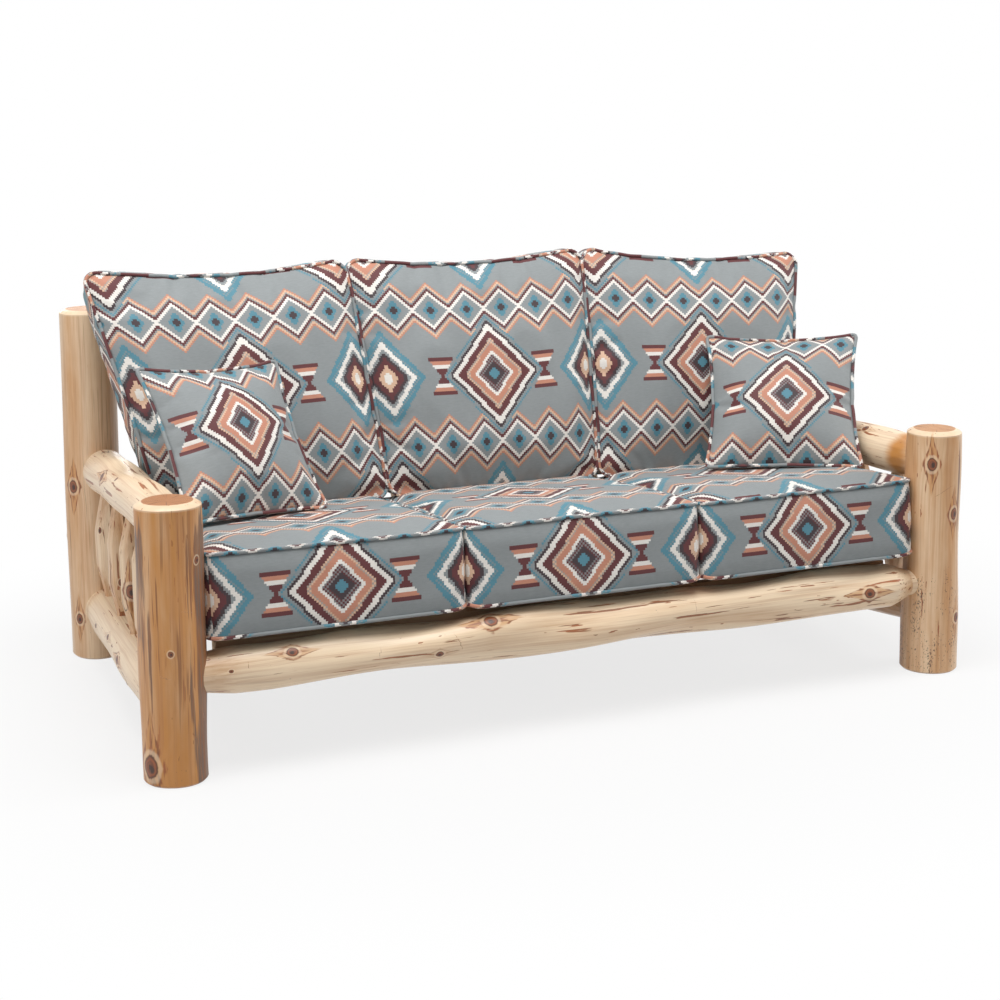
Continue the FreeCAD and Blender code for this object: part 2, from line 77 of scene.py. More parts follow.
def paint(red, green, blue):
    """A display colour of 0 to 255 as the linear colour that Blender's sockets take."""
    c = np.array([red, green, blue]) / 255.0
    return tuple(np.where(c <= 0.04045, c / 12.92, ((c + 0.055) / 1.055) ** 2.4))


def colour_property(name, description, rgb):
    return bpy.props.FloatVectorProperty(name=name, description=description, subtype="COLOR", size=3,
                                         min=0.0, max=1.0, default=paint(*rgb))


def length_property(name, description, default):
    return bpy.props.FloatProperty(name=name, description=description, default=default, unit="LENGTH")


def share_property(name, description, default):
    return bpy.props.FloatProperty(name=name, description=description, default=default, min=0.0, max=1.0,
                                   subtype="FACTOR")


def angle_property(name, description, degrees):
    return bpy.props.FloatProperty(name=name, description=description, unit="ROTATION", subtype="ANGLE",
                                   default=math.radians(degrees))


class LogLooks(bpy.types.PropertyGroup):
    """Colours and carving of the peeled logs."""
    pale: colour_property("Pale wood", "Peeled sapwood of the rails and spindles", (236, 213, 182))
    honey: colour_property("Honey wood", "Darker wood of the posts", (190, 129, 60))
    fibre: colour_property("Fibre", "Fine darker fibres along a log", (174, 116, 66))
    streak: colour_property("Brown streak", "Inner bark left in long streaks", (124, 72, 36))
    stain: colour_property("Grey stain", "Weathered grey-brown bands of the posts", (98, 80, 70))
    dash: colour_property("Red dash", "Reddish inner bark in dashes", (158, 86, 44))
    knot: colour_property("Knot", "Knot wood", (142, 78, 42))
    core: colour_property("Knot core", "Dark heart of a knot, and cracks", (52, 30, 20))
    end_pale: colour_property("End grain", "Sawn end between its rings", (196, 150, 110))
    end_dark: colour_property("End rings", "Late wood rings of a sawn end", (156, 102, 62))
    facet: share_property("Draw-knife facets", "How flat the knife left the body", 0.22)
    spindle_facet: share_property("Spindle facets", "How flat a spindle's body is cut", 0.6)
    shoulder_facet: share_property("Shoulder facets", "How flat the tapers are cut", 0.9)
    knot_rise: length_property("Knot rise", "How far a knot stands proud", 0.0028)


class ClothLooks(bpy.types.PropertyGroup):
    """Colours of the woven cover, and the spacing of its figures."""
    ground: colour_property("Ground", "Grey-blue ground of the weave", (136, 141, 142))
    teal: colour_property("Teal", "Teal yarn", (80, 132, 148))
    cream: colour_property("Cream", "Cream yarn", (232, 227, 220))
    maroon: colour_property("Maroon", "Maroon yarn", (88, 38, 40))
    terracotta: colour_property("Terracotta", "Terracotta yarn", (192, 132, 108))
    peach: colour_property("Peach", "Peach yarn", (214, 178, 150))
    dark: colour_property("Dark", "Darkest yarn", (54, 40, 44))
    column: length_property("Column pitch", "Distance between neighbouring figures", 0.30)
    row: length_property("Row pitch", "Distance between rows of figures", 0.36)
    step: length_property("Step", "Size of one step of a figure's edge", 0.005)


class CushionSizes(bpy.types.PropertyGroup):
    """Sizes of the padded pieces that their boxes do not give."""
    grid: length_property("Grid", "Spacing of the cloth grid", 0.0115)
    seat_crown: length_property("Seat crown", "Rise of a seat cushion's middle", 0.026)
    boxing_swell: length_property("Boxing swell", "Bulge of a seat cushion's boxing", 0.007)
    back_front_crown: length_property("Front crown", "Bulge of a back cushion's front", 0.050)
    back_rear_crown: length_property("Rear crown", "Bulge of a back cushion's rear", 0.055)
    back_dip: length_property("Top dip", "Dip of a back cushion's top between its corners", 0.022)
    seat_corner: length_property("Seat corner", "Radius of a seat cushion's corners", 0.020)
    back_corner: length_property("Back corner", "Radius of a back cushion's corners", 0.045)
    pillow_edge: length_property("Pillow edge", "Thickness of a pillow at its seam", 0.012)
    welt: length_property("Welt", "Thickness of the covered cord in the seams", 0.0095)
    pressure: bpy.props.FloatProperty(name="Filling pressure", description="Pressure that swells the covers",
                                      default=4.0, min=0.0)


class Camera(bpy.types.PropertyGroup):
    """Where the picture is taken from."""
    place: bpy.props.FloatVectorProperty(name="Place", description="Camera's place", size=3, unit="LENGTH",
                                         subtype="TRANSLATION", default=(-1.7531, -4.3714, 1.5468))
    yaw: angle_property("Yaw", "Turn to the right of straight ahead", 21.71)
    pitch: angle_property("Pitch", "Downward tilt", 8.774)
    roll: angle_property("Roll", "Turn about the line of sight", -0.449)
    lens: bpy.props.FloatProperty(name="Lens", description="Focal length in millimetres on a 36 mm sensor",
                                  default=66.967)
    shift: bpy.props.FloatProperty(name="Shift", description="Vertical lens shift", default=-0.15)


class Value:
    """One output of a node. Arithmetic on values adds Math nodes to the same material."""

    def __init__(self, shader, output):
        self.shader = shader
        self.output = output

    def math(self, operation, *others):
        sockets = dict(enumerate((self,) + others))
        return self.shader.node("ShaderNodeMath", {"operation": operation}, sockets)

    def __add__(self, other):
        return self.math("ADD", other)

    def __sub__(self, other):
        return self.math("SUBTRACT", other)

    def __rsub__(self, other):
        return self.shader.node("ShaderNodeMath", {"operation": "SUBTRACT"}, {0: other, 1: self})

    def __mul__(self, other):
        return self.math("MULTIPLY", other)

    def __truediv__(self, other):
        return self.math("DIVIDE", other)

    def __pow__(self, other):
        return self.math("POWER", other)

    def __abs__(self):
        return self.math("ABSOLUTE")

    def __lt__(self, other):
        return self.math("LESS_THAN", other)

    def __gt__(self, other):
        return self.math("GREATER_THAN", other)

    __radd__ = __add__
    __rmul__ = __mul__

    def floor(self):
        return self.math("FLOOR")

    def wave(self):
        """Sine of the value, brought to 0 to 1."""
        return self.math("SINE") * 0.5 + 0.5

    def rise(self, low, high):
        """0 below low, 1 above high, smooth between."""
        return self.shader.node("ShaderNodeMapRange", {"interpolation_type": "SMOOTHSTEP"},
                                {0: self, 1: low, 2: high, 3: 0.0, 4: 1.0})

    def fall(self, low, high):
        return 1.0 - self.rise(low, high)

    def within(self, low, high):
        """1 between low and high, else 0."""
        return (self > low) * (self < high)


class Shader:
    """One procedural material."""

    def __init__(self, name, world=False):
        library = bpy.data.worlds if world else bpy.data.materials
        self.end = "ShaderNodeOutputWorld" if world else "ShaderNodeOutputMaterial"
        self.material = library.new(name)
        self.material.use_nodes = True
        self.tree = self.material.node_tree
        self.colour = None
        self.tree.nodes.clear()

    def node(self, kind, settings=None, sockets=None, out=0):
        """A node of a kind: its settings are set first, then its sockets get values or links."""
        made = self.tree.nodes.new(kind)
        for key, value in (settings or {}).items():
            setattr(made, key, value)
        for key, value in (sockets or {}).items():
            if isinstance(value, Value):
                self.tree.links.new(value.output, made.inputs[key])
            else:
                made.inputs[key].default_value = value
        return Value(self, made.outputs[out])

    def attribute(self, name):
        return self.node("ShaderNodeAttribute", {"attribute_name": name}, out="Vector")

    def parts(self, vector):
        split = self.node("ShaderNodeSeparateXYZ", None, {0: vector})
        outputs = split.output.node.outputs
        return [Value(self, output) for output in outputs]

    def vector(self, x, y, z=0.0):
        return self.node("ShaderNodeCombineXYZ", None, {0: x, 1: y, 2: z})

    def noise(self, vector, scale, detail=2.0, roughness=0.5):
        """Noise on a vector stretched by a scale for each axis."""
        scaled = self.node("ShaderNodeVectorMath", {"operation": "MULTIPLY"}, {0: vector, 1: scale})
        sockets = {"Vector": scaled, "Scale": 1.0, "Detail": detail, "Roughness": roughness}
        return self.node("ShaderNodeTexNoise", None, sockets)

    def mix(self, factor, first, second):
        """Colour that goes from first to second as factor goes from 0 to 1."""
        first, second = [c if isinstance(c, Value) else (*c, 1.0) for c in (first, second)]
        return self.node("ShaderNodeMix", {"data_type": "RGBA"}, {0: factor, 6: first, 7: second}, out=2)

    def coat(self, factor, second):
        """Lays a second colour over the material's colour so far."""
        self.colour = self.mix(factor, self.colour, second)

    def shade(self, factor, colour):
        """Colour times a grey factor, through a Mix that multiplies."""
        grey = self.node("ShaderNodeCombineColor", None, {0: factor, 1: factor, 2: factor})
        return self.node("ShaderNodeMix", {"data_type": "RGBA", "blend_type": "MULTIPLY"},
                         {0: 1.0, 6: colour, 7: grey}, out=2)

    def bump(self, height, distance, strength):
        sockets = {"Strength": strength, "Distance": distance, "Height": height}
        return self.node("ShaderNodeBump", None, sockets)

    def surface(self, **sockets):
        """Principled surface in the material's colour, as its output."""
        named = {key.replace("_", " "): value for key, value in sockets.items()}
        named["Base Color"] = self.colour
        shader = self.node("ShaderNodeBsdfPrincipled", None, named)
        self.output(shader)
        return self.material

    def output(self, shader):
        self.tree.links.new(shader.output, self.tree.nodes.new(self.end).inputs["Surface"])
        return self.material


def log_wood(looks):
    """Peeled log: fibres, streaks and dashes along the grain attribute, knots with flames from the knot
    attribute, the tone attribute's honey, streak and dash shares, and the wear attribute's stain, specks and
    worn rim."""
    wood = Shader("peeled_log_wood")
    grain = wood.attribute("grain")

    def noise(around, along, detail=2.0, roughness=0.5):
        """Noise with a pace round the log and a pace along it, for each metre."""
        return wood.noise(grain, (around, around, along), detail, roughness)

    across, along, flare = wood.parts(wood.attribute("knot"))
    honey, streaks, dashes = wood.parts(wood.attribute("tone"))
    stain, specks, rim = wood.parts(wood.attribute("wear"))
    bare = 1.0 - rim
    broad = noise(15.0, 0.9, 3.0, 0.55)
    mottle = noise(32.0, 8.0, 3.0, 0.6)
    fibre = noise(300.0, 4.5, 3.0, 0.6)
    mid = noise(95.0, 2.2, 3.0, 0.55)
    share = honey + (broad - 0.5) * 1.3 + (mottle - 0.5) * 0.4
    wood.colour = wood.mix(share.rise(0.0, 1.0), looks.pale, looks.honey)
    wood.coat(fibre.rise(0.46, 0.74) * 0.30, looks.fibre)
    wood.coat(mid.rise(0.48, 0.68) * (0.20 + streaks * 0.45), looks.fibre)
    wood.coat(rim * 0.7, looks.pale)

    # Long streaks of inner bark
    wide = noise(70.0, 3.2).rise(0.60, 0.68)
    thin = noise(175.0, 4.4).rise(0.62, 0.69)
    where = noise(15.0, 2.0).rise(0.36, 0.60)
    streak = wide.math("MAXIMUM", thin) * where * streaks * bare
    wood.coat(streak * 0.85, looks.streak)

    # Weathered bands, frayed along their edges
    finger = noise(52.0, 2.6, 4.0, 0.62)
    thread = noise(150.0, 4.0, 3.0, 0.6)
    band = (stain + (finger - 0.5) * 2.2).rise(0.42, 0.62) * stain.rise(0.0, 0.12) * bare
    grey = wood.mix(thread.rise(0.40, 0.66), looks.stain, looks.streak)
    wood.coat(band * (0.55 + mottle * 0.6).math("MINIMUM", 0.95), grey)

    # Torn dashes and chips of red bark, in clusters
    dash = noise(92.0, 5.4, 3.0)
    chip = noise(115.0, 26.0)
    cluster = noise(9.0, 2.6, 1.0).rise(0.38, 0.62) * 0.05
    long_torn = (dash + cluster + dashes * 0.035).rise(0.685, 0.72)
    short_torn = (chip + cluster).rise(0.735, 0.76)
    torn_bark = long_torn.math("MAXIMUM", short_torn) * dashes.rise(0.0, 0.6)
    wood.coat(torn_bark * 0.35, looks.honey)
    red_brown = wood.mix(thread.rise(0.4, 0.6), looks.dash, looks.streak)
    wood.coat(torn_bark.rise(0.3, 0.9) * 0.9, red_brown)

    # Dark specks
    fleck = noise(360.0, 150.0)
    patch = noise(26.0, 8.0)
    speckle = (fleck * 0.7 + patch * 0.35 + specks * 0.13).rise(0.745, 0.79)
    wood.coat(speckle * 0.85, looks.core)

    # Flames that run out from a knot along the grain
    flame_length = 9.0
    wobble = (noise(70.0, 45.0, 3.0) - 0.5) * 1.1
    torn = noise(150.0, 7.0)
    tip = (1.0 - abs(along) / flame_length).math("MAXIMUM", 0.0) ** 2.0
    reach = tip * 2.2 + 0.01
    sway = (noise(24.0, 9.0) - 0.5) * 1.6
    inside = abs(across + sway * (along * along).rise(1.0, 16.0)) / reach + wobble * 0.3
    fade = tip.rise(0.01, 0.16) * flare
    wood.coat(inside.fall(0.6, 1.1) * fade * 0.55, looks.honey)
    vein = abs(inside - 0.88 + (torn - 0.5) * 0.8).fall(0.06, 0.26) * torn.rise(0.36, 0.52)
    heartwood = (abs(across) * 1.1 + abs(along) * 0.19 + wobble * 0.4 - (torn - 0.5) * 1.8).fall(0.55, 1.0)
    flame = wood.mix(torn.rise(0.45, 0.6), looks.dash, looks.streak)
    wood.coat((vein * fade * 0.95).math("MAXIMUM", heartwood * flare * 0.85), flame)

    # The knot itself: halo, rings, dark edge and an off-centre heart
    ring_pace = 15.0
    ellipse = (across * across + along * along * 0.62) ** 0.5 + wobble * 0.55
    halo = abs(ellipse - 1.35).fall(0.1, 0.4)
    wood.coat(halo * 0.45, looks.pale)
    eye = ellipse.fall(0.92, 1.12)
    rings = wood.mix((ellipse * ring_pace).wave() * 0.45, looks.knot, looks.core)
    wood.coat(eye, rings)
    aside = across - 0.18
    above = along + 0.1
    off = (aside * aside + above * above * 0.6) ** 0.5 + wobble * 0.6
    heart = off.fall(0.25, 0.60)
    edge = abs(ellipse - 1.02).fall(0.02, 0.14)
    wood.coat((heart * 0.95 + edge * 0.65).math("MINIMUM", 1.0), looks.core)

    # Drying cracks
    split = abs(noise(17.0, 0.5, 1.0) - 0.5).fall(0.001, 0.0045)
    crack = split * noise(5.0, 1.5, 1.0).rise(0.62, 0.68) * bare
    wood.coat(crack * 0.8, looks.core)
    height = fibre * 0.35 + mid * 0.4 - crack * 1.5 - heart * 0.5 - edge * 0.3 - band * 0.25 - torn_bark * 0.4
    return wood.surface(Roughness=0.36 + fibre * 0.14 + band * 0.1, Coat_Weight=0.18,
                        Coat_Roughness=0.22, Normal=wood.bump(height - speckle * 0.4, 0.0010, 0.6))


def end_grain(looks):
    """Sawn log end: growth rings about the pith, and checks that run out from it."""
    wood = Shader("sawn_log_end")
    grain = wood.attribute("grain")
    x, y, along = wood.parts(wood.attribute("section"))
    wobble = wood.noise(grain, (28.0, 28.0, 4.0), 2.0)
    radius = (x * x + y * y) ** 0.5 + (wobble - 0.5) * 0.012
    ring_pace = 1500.0
    ring = (radius * ring_pace).wave()
    saw = wood.noise(wood.attribute("section"), (30.0, 700.0, 4.0), 2.0)
    wood.colour = wood.mix(ring * 0.5 + saw.rise(0.5, 0.75) * 0.3, looks.end_pale, looks.end_dark)
    wood.coat(wobble.rise(0.45, 0.75) * 0.35, looks.streak)
    honey, _, _ = wood.parts(wood.attribute("tone"))
    wood.coat(honey.rise(0.5, 0.85) * 0.75, looks.end_dark)
    turn = y.math("ARCTAN2", x)
    ray = abs(wood.noise(wood.vector(turn * 2.2, radius * 3.0, along), (1.0, 1.0, 1.0), 1.0) - 0.5)
    check = ray.fall(0.004, 0.018) * radius.rise(0.006, 0.03)
    wood.coat(check * 0.6, looks.core)
    return wood.surface(Roughness=0.55 + ring * 0.1, Coat_Weight=0.08, Coat_Roughness=0.3,
                        Normal=wood.bump(ring * 0.4 - check + saw * 0.3, 0.0008, 0.5))


def board_wood(looks, name, along_axis):
    """Sawn board: grain lines along one axis of the object, on Object coordinates."""
    wood = Shader(name)
    place = wood.node("ShaderNodeTexCoord", out="Object")
    fine = [190.0] * 3
    fine[along_axis] = 5.0
    broad = [26.0] * 3
    broad[along_axis] = 0.9
    fibre = wood.noise(place, fine, 3.0)
    figure = wood.noise(place, broad, 4.0, 0.6)
    ring_pace = 60.0
    rings = (figure * ring_pace).wave()
    wood.colour = wood.mix(figure.rise(0.35, 0.65), looks.pale, looks.end_pale)
    wood.coat(rings * 0.28 + fibre.rise(0.5, 0.75) * 0.3, looks.fibre)
    return wood.surface(Roughness=0.6 + fibre * 0.15,
                        Normal=wood.bump(fibre + rings * 0.4, 0.0007, 0.4))


def screw_steel():
    """Zinc-plated steel with a faint crystalline mottle."""
    steel = Shader("zinc_plated_steel")
    place = steel.node("ShaderNodeTexCoord", out="Object")
    mottle = steel.noise(place, (320.0, 320.0, 320.0), 2.0)
    steel.colour = steel.mix(mottle, paint(150, 150, 146), paint(200, 200, 196))
    return steel.surface(Metallic=1.0, Roughness=0.28 + mottle * 0.2)


def woven_cover(looks):
    """Jacquard cover: rows of stepped diamonds in two colourings that change places from row to row, with
    zigzag bands between the rows, small diamonds in the bands and hourglasses between the figures, on a
    ribbed ground."""
    cloth = Shader("jacquard_cloth")

    def stepped(distance):
        """Middle of the step that a distance falls in."""
        return ((distance / looks.step).floor() + 0.5) * looks.step

    uv = cloth.node("ShaderNodeUVMap", {"uv_map": "weave"})
    jitter = cloth.noise(uv, (420.0, 420.0, 1.0), 1.0) - 0.5
    u, v, _ = cloth.parts(uv)
    u = u + jitter * 0.0014
    v = v + jitter * 0.0010
    row_index = ((v + looks.row / 2) / looks.row).floor()
    y = v - row_index * looks.row
    u = u + row_index.math("FLOORED_MODULO", 2.0) * looks.column
    column_index = ((u + looks.column / 2) / looks.column).floor()
    x = u - column_index * looks.column
    odd = column_index.math("FLOORED_MODULO", 2.0)
    even = 1.0 - odd
    step_x = stepped(abs(x))
    step_y = stepped(abs(y))
    check = ((x / looks.step).floor() + (y / looks.step).floor()).math("FLOORED_MODULO", 2.0)
    spotted = 1.0 - check * 0.7
    cloth.colour = looks.ground

    # Rings of the large and the small diamond, from the outside in: shares of its half width from and to,
    # yarn, and whether the ground shows through every other step
    large = step_x / 0.128 + step_y / 0.146
    small = step_x / 0.100 + step_y / 0.128
    large_rings = ((1.06, 1.13, looks.teal, True), (0.94, 1.01, looks.dark, False),
                   (0.82, 0.94, looks.cream, False), (0.66, 0.82, looks.maroon, False),
                   (0.58, 0.66, looks.peach, True), (0.44, 0.58, looks.terracotta, False),
                   (0.36, 0.44, looks.cream, False), (0.24, 0.36, looks.maroon, True),
                   (0.13, 0.24, looks.dark, False), (-1.0, 0.13, looks.teal, False))
    small_rings = ((0.88, 1.0, looks.teal, False), (0.76, 0.88, looks.teal, True),
                   (0.62, 0.76, looks.cream, False), (0.44, 0.54, looks.dark, False),
                   (0.28, 0.44, looks.maroon, False), (0.14, 0.28, looks.peach, False),
                   (-1.0, 0.14, looks.cream, False))
    for diamond, here, rings in ((large, even, large_rings), (small, odd, small_rings)):
        for low, high, yarn, is_spotted in rings:
            mask = diamond.within(low, high) * here
            cloth.coat(mask * spotted if is_spotted else mask, yarn)
    clear = 1.0 - ((large < 1.13) * even + (small < 1.0) * odd)

    # Zigzag bands with small diamonds
    zigzag_height = 0.096
    from_band = looks.row / 2 - abs(y)
    zigzag_pitch = looks.column / 3
    along = (x / zigzag_pitch + 0.5).math("FRACT") - 0.5
    rung = from_band - stepped(abs(along) * zigzag_height)
    for low, high, yarn in ((-0.005, 0.005, looks.cream), (0.005, 0.014, looks.maroon),
                            (0.019, 0.026, looks.peach), (0.026, 0.032, looks.terracotta)):
        cloth.coat(rung.within(low, high) * clear, yarn)
    gem = stepped((0.5 - abs(along)) * zigzag_pitch) / 0.024 + stepped(from_band) / 0.026
    cloth.coat((gem < 1.0) * clear, looks.teal)
    cloth.coat((gem < 0.52) * clear, looks.dark)

    # Hourglasses between the diamonds
    glass_height = 0.052
    waist = (step_y * 0.68 + 0.005 - stepped(looks.column / 2 - abs(x))) > 0.0
    glass = waist * (step_y < glass_height) * clear
    cloth.coat(glass, looks.maroon)
    cloth.coat(glass * step_y.within(0.018, 0.031), looks.cream)
    cloth.coat(glass * step_y.within(0.031, 0.038), looks.terracotta)

    # Weave: diagonal ribs, uneven yarn, wear and nap
    rib_pace = 2600.0
    rib = ((u + v * 0.6) * rib_pace).wave()
    slub = cloth.noise(uv, (60.0, 900.0, 1.0))
    wear = cloth.noise(uv, (14.0, 14.0, 1.0))
    nap = cloth.noise(uv, (70.0, 240.0, 1.0), 3.0, 0.6)
    tint = 0.90 + rib * 0.07 + (slub - 0.5) * 0.20 + (wear - 0.5) * 0.14 + (nap - 0.5) * 0.22
    height = rib * 0.5 + slub * 0.5
    cloth.colour = cloth.shade(tint, cloth.colour)
    return cloth.surface(Roughness=0.60 + slub * 0.14, Sheen_Weight=0.12, Sheen_Roughness=0.4,
                         Normal=cloth.bump(height, 0.0006, 0.35))


def mesh_rows(piece, what="co"):
    """Places or normals of all vertices as rows."""
    rows = np.empty(len(piece.data.vertices) * 3)
    piece.data.vertices.foreach_get(what, rows)
    return rows.reshape(-1, 3)


def node_points(node):
    return mesh_rows(frame["nodes"][node])


def local_box(node, axes):
    """Lowest and highest corner of a CAD node along the rows of axes."""
    local = node_points(node) @ axes.T
    return local.min(0), local.max(0)


def put_mesh(name, points, faces, material, vectors=None, uv=None, second=None, second_faces=None,
             sharp=None):
    """New object from arrays: faces is a list of index arrays, vectors are point attributes, uv is for each
    corner in face order, and second is a material for the faces that second_faces marks."""
    mesh = bpy.data.meshes.new(name)
    rows = [row for block in faces for row in block.tolist()]
    mesh.from_pydata(points.tolist(), [], rows)
    mesh.materials.append(material)
    if second is not None:
        mesh.materials.append(second)
        mesh.polygons.foreach_set("material_index", second_faces.astype(np.int32))
    for key, rows3 in (vectors or {}).items():
        layer = mesh.attributes.new(key, "FLOAT_VECTOR", "POINT")
        layer.data.foreach_set("vector", np.ascontiguousarray(rows3, dtype=np.float32).ravel())
    if uv is not None:
        mesh.uv_layers.new(name="weave").data.foreach_set("uv", uv.astype(np.float32).ravel())
    mesh.polygons.foreach_set("use_smooth", np.ones(len(rows), bool))
    if sharp is not None:
        mesh.set_sharp_from_angle(angle=sharp)
    mesh.update()
    piece = bpy.data.objects.new(name, mesh)
    bpy.context.scene.collection.objects.link(piece)
    return piece


# A group of like logs: how long the tenon is up to its taper, the taper, the shares of the body's thickness
# left where the tapers meet the posts (0 for the tenon's own), how much the axis wanders, how lumpy the body
# is, rows along it, points round it, facets round it, its honey, streak and dash shares, how much browner
# its carved shoulders are, and how many small knots it has besides those listed.
# The rest are one log's own: knots (distance from its foot, front or left end, turn from the front, or from
# the top on side logs, and size), stain bands (turn, width, lowest and highest place, strength), dark specks
# (lowest and highest place, share), the shares by which it is slimmer at its foot or left end and at its far
# end, a longer first taper, and the bow of its axis along its front and its side.
LogForm = namedtuple("LogForm", "neck taper necks wander lumps rows around facets tone shoulder_tone "
                     "spare_knots knots stains specks slim first_taper bow",
                     defaults=((), (), (0.0, 0.0, 0.0), (0.0, 0.0), None, (0.0, 0.0)))
ARM_LOG = LogForm(0.081, 0.042, (0.84, 0.80), 0.0020, 0.0011, 220, 88, 13, (0.12, 0.12, 0.75), 0.6, 3)
LOWER_LOG = LogForm(0.079, 0.036, (0.90, 0.86), 0.0025, 0.0015, 220, 88, 13, (0.10, 0.15, 0.8), 0.4, 3)
ARM_SPINDLE = LogForm(0.033, 0.080, (0.0, 0.0), 0.0016, 0.0006, 90, 56, 7, (0.30, 0.35, 0.8), 0.25, 1)
RAIL = LogForm(0.079, 0.058, (0.87, 0.60), 0.0035, 0.0019, 380, 96, 14, (0.10, 0.18, 1.0), 0.35, 3)
TOP_RAIL = LogForm(0.079, 0.044, (0.0, 0.0), 0.0030, 0.0016, 240, 80, 14, (0.15, 0.2, 0.8), 0.35, 4)
REAR_RAIL = LogForm(0.046, 0.050, (0.0, 0.0), 0.0, 0.0006, 200, 72, 16, (0.25, 0.25, 0.5), 0.35, 3)
BACK_SPINDLE = LogForm(0.033, 0.082, (0.0, 0.0), 0.0016, 0.0006, 120, 56, 7, (0.30, 0.30, 0.8), 0.25, 1)
POST = LogForm(0.0, 0.0, (0.0, 0.0), 0.0012, 0.0011, 240, 104, 17, (0.62, 0.42, 0.3), 0.0, 4)
# What one log has that its group does not
OWN = {
    "front_post_left": {
        "tone": (0.84, 0.95, 0.35),
        "knots": [(0.046, -60.0, 0.019), (0.305, -14.0, 0.005), (0.50, 42.0, 0.006)],
        "stains": [(60.0, 33.0, -0.1, 0.60, 1.15), (-80.0, 24.0, 0.26, 0.62, 0.72),
                   (-52.0, 6.0, 0.10, 0.40, 0.7), (20.0, 5.0, 0.10, 0.55, 0.5), (150.0, 25.0, 0.0, 0.6, 0.9)],
        "specks": (0.0, 0.12, 0.3),
    },
    "front_post_right": {
        "tone": (0.54, 0.35, 0.45),
        "knots": [(0.545, -38.0, 0.012), (0.415, 16.0, 0.011)],
        "stains": [(32.0, 10.0, 0.30, 0.62, 0.5), (120.0, 20.0, 0.0, 0.6, 0.8)],
        "specks": (0.0, 0.30, 1.0),
        "slim": (0.0, 0.065),
    },
    "back_post_left": {
        "tone": (0.48, 0.40, 0.25),
        "knots": [(0.465, -54.0, 0.012), (0.110, -50.0, 0.010)],
        "stains": [(-86.0, 14.0, 0.0, 0.5, 0.5), (140.0, 22.0, 0.1, 0.9, 0.8)],
        "slim": (0.0, 0.02),
    },
    "back_post_right": {"stains": [(170.0, 24.0, 0.0, 0.8, 0.8), (60.0, 14.0, 0.2, 0.9, 0.6)]},
    "front_rail": {
        "knots": [(0.263, -40.0, 0.010), (0.733, -50.0, 0.012), (0.603, 12.0, 0.007), (0.123, -12.0, 0.004),
                  (1.743, -3.0, 0.011)],
        "slim": (0.07, 0.0),
        "bow": (0.0, -0.004),
    },
    "arm_log_right": {"necks": (0.93, 0.80), "shoulder_tone": 1.0, "knots": [(0.26, -28.0, 0.008)]},
    "lower_log_left": {"necks": (0.90, 0.98), "knots": [(0.60, -70.0, 0.007), (0.75, -85.0, 0.006)]},
    "lower_log_right": {"necks": (0.48, 0.86), "first_taper": 0.20},
    "arm_spindle_left_3": {"knots": [(0.14, -30.0, 0.013)]},
    "arm_spindle_left_5": {"knots": [(0.21, -50.0, 0.006)]},
}
MOST_WHITTLED = 8
POST_RIM = 0.017
POST_RIM_DROP = 0.009
FOOT_EASE = 0.005
END_SHARE = 0.03
END_SLICE = 0.001
KNOT_CLEARANCE = 0.10
SHARP_EDGE = math.radians(38.0)
ANY_PHASE = (0, 6.28)


def log_axis(node):
    """Foot, direction, length, tenon radius and body radius of a CAD log, about the line through the middles
    of its two ends."""
    points = node_points(node)
    way = np.eye(3)[np.argmax(np.ptp(points, axis=0))]
    settling_count = 4
    for _ in range(settling_count):
        along = points @ way
        reach = END_SHARE * np.ptp(along)
        ends = [points[along < along.min() + reach], points[along > along.max() - reach]]
        foot, tip = [(end.min(0) + end.max(0)) / 2 for end in ends]
        way = unit(tip - foot)
    along = points @ way
    foot = foot + way * (along.min() - foot @ way)
    offset = points - foot
    radial = np.linalg.norm(offset - np.outer(offset @ way, way), axis=1)
    tenon = radial[along < along.min() + END_SLICE].max()
    return foot, way, np.ptp(along), tenon, radial.max()


def stick_profile(form, length, tenon, body):
    """Rows along a stick: distance, radius, freedom to wander (0 in the tenons), carving of the shoulders and
    whether the row lies on a sawn end. A share of the body's thickness may be left at either neck."""
    taper_rows = 18
    first_taper = form.first_taper or form.taper
    first = np.linspace(form.neck, form.neck + first_taper, taper_rows)
    last = np.linspace(form.neck, form.neck + form.taper, taper_rows)
    middle = np.linspace(first[-1], length - last[-1], form.rows)[1:-1]
    s = np.concatenate([[0.0], first, middle, length - last[::-1], [length]])
    from_neck = np.minimum(s, length - s) - form.neck
    near_foot = s < length / 2
    taper = np.where(near_foot, first_taper, form.taper)
    share = np.clip(from_neck / taper, 0.0, 1.0)
    start, stop = [max(tenon, body * left) for left in form.necks]
    thin = np.where(near_foot, start, stop)
    radius = thin + (body - thin) * (share * 1.12 - 0.12 * share ** 4)
    free = np.clip(from_neck / (form.taper * 2.5), 0.0, 1.0)
    carve = np.clip(1.3 - from_neck / taper, 0.0, 1.0) * (np.minimum(s, length - s) >= form.neck)
    ends = np.zeros(len(s), bool)
    return s, radius, free, carve, ends


def post_profile(form, length, body):
    """Rows up a post: eased foot, body, bevelled rim, and rings on its two sawn ends."""
    cap = np.array([0.35, 0.7, 0.999])
    rings = len(cap)
    bevel_rows = 4
    bevel = np.linspace(0.0, 1.0, bevel_rows)[1:]
    shoulder = length - POST_RIM_DROP
    body_s = np.linspace(FOOT_EASE, shoulder, form.rows)
    s = np.concatenate([np.zeros(rings), body_s, shoulder + bevel * POST_RIM_DROP, np.full(rings, length)])
    radius = np.concatenate([(body - FOOT_EASE) * cap, np.full(form.rows, body),
                             body - POST_RIM * bevel ** 1.35, (body - POST_RIM) * cap[::-1]])
    ends = np.zeros(len(s), bool)
    ends[:rings] = True
    ends[-rings:] = True
    return s, radius, np.ones(len(s)), np.zeros(len(s)), ends


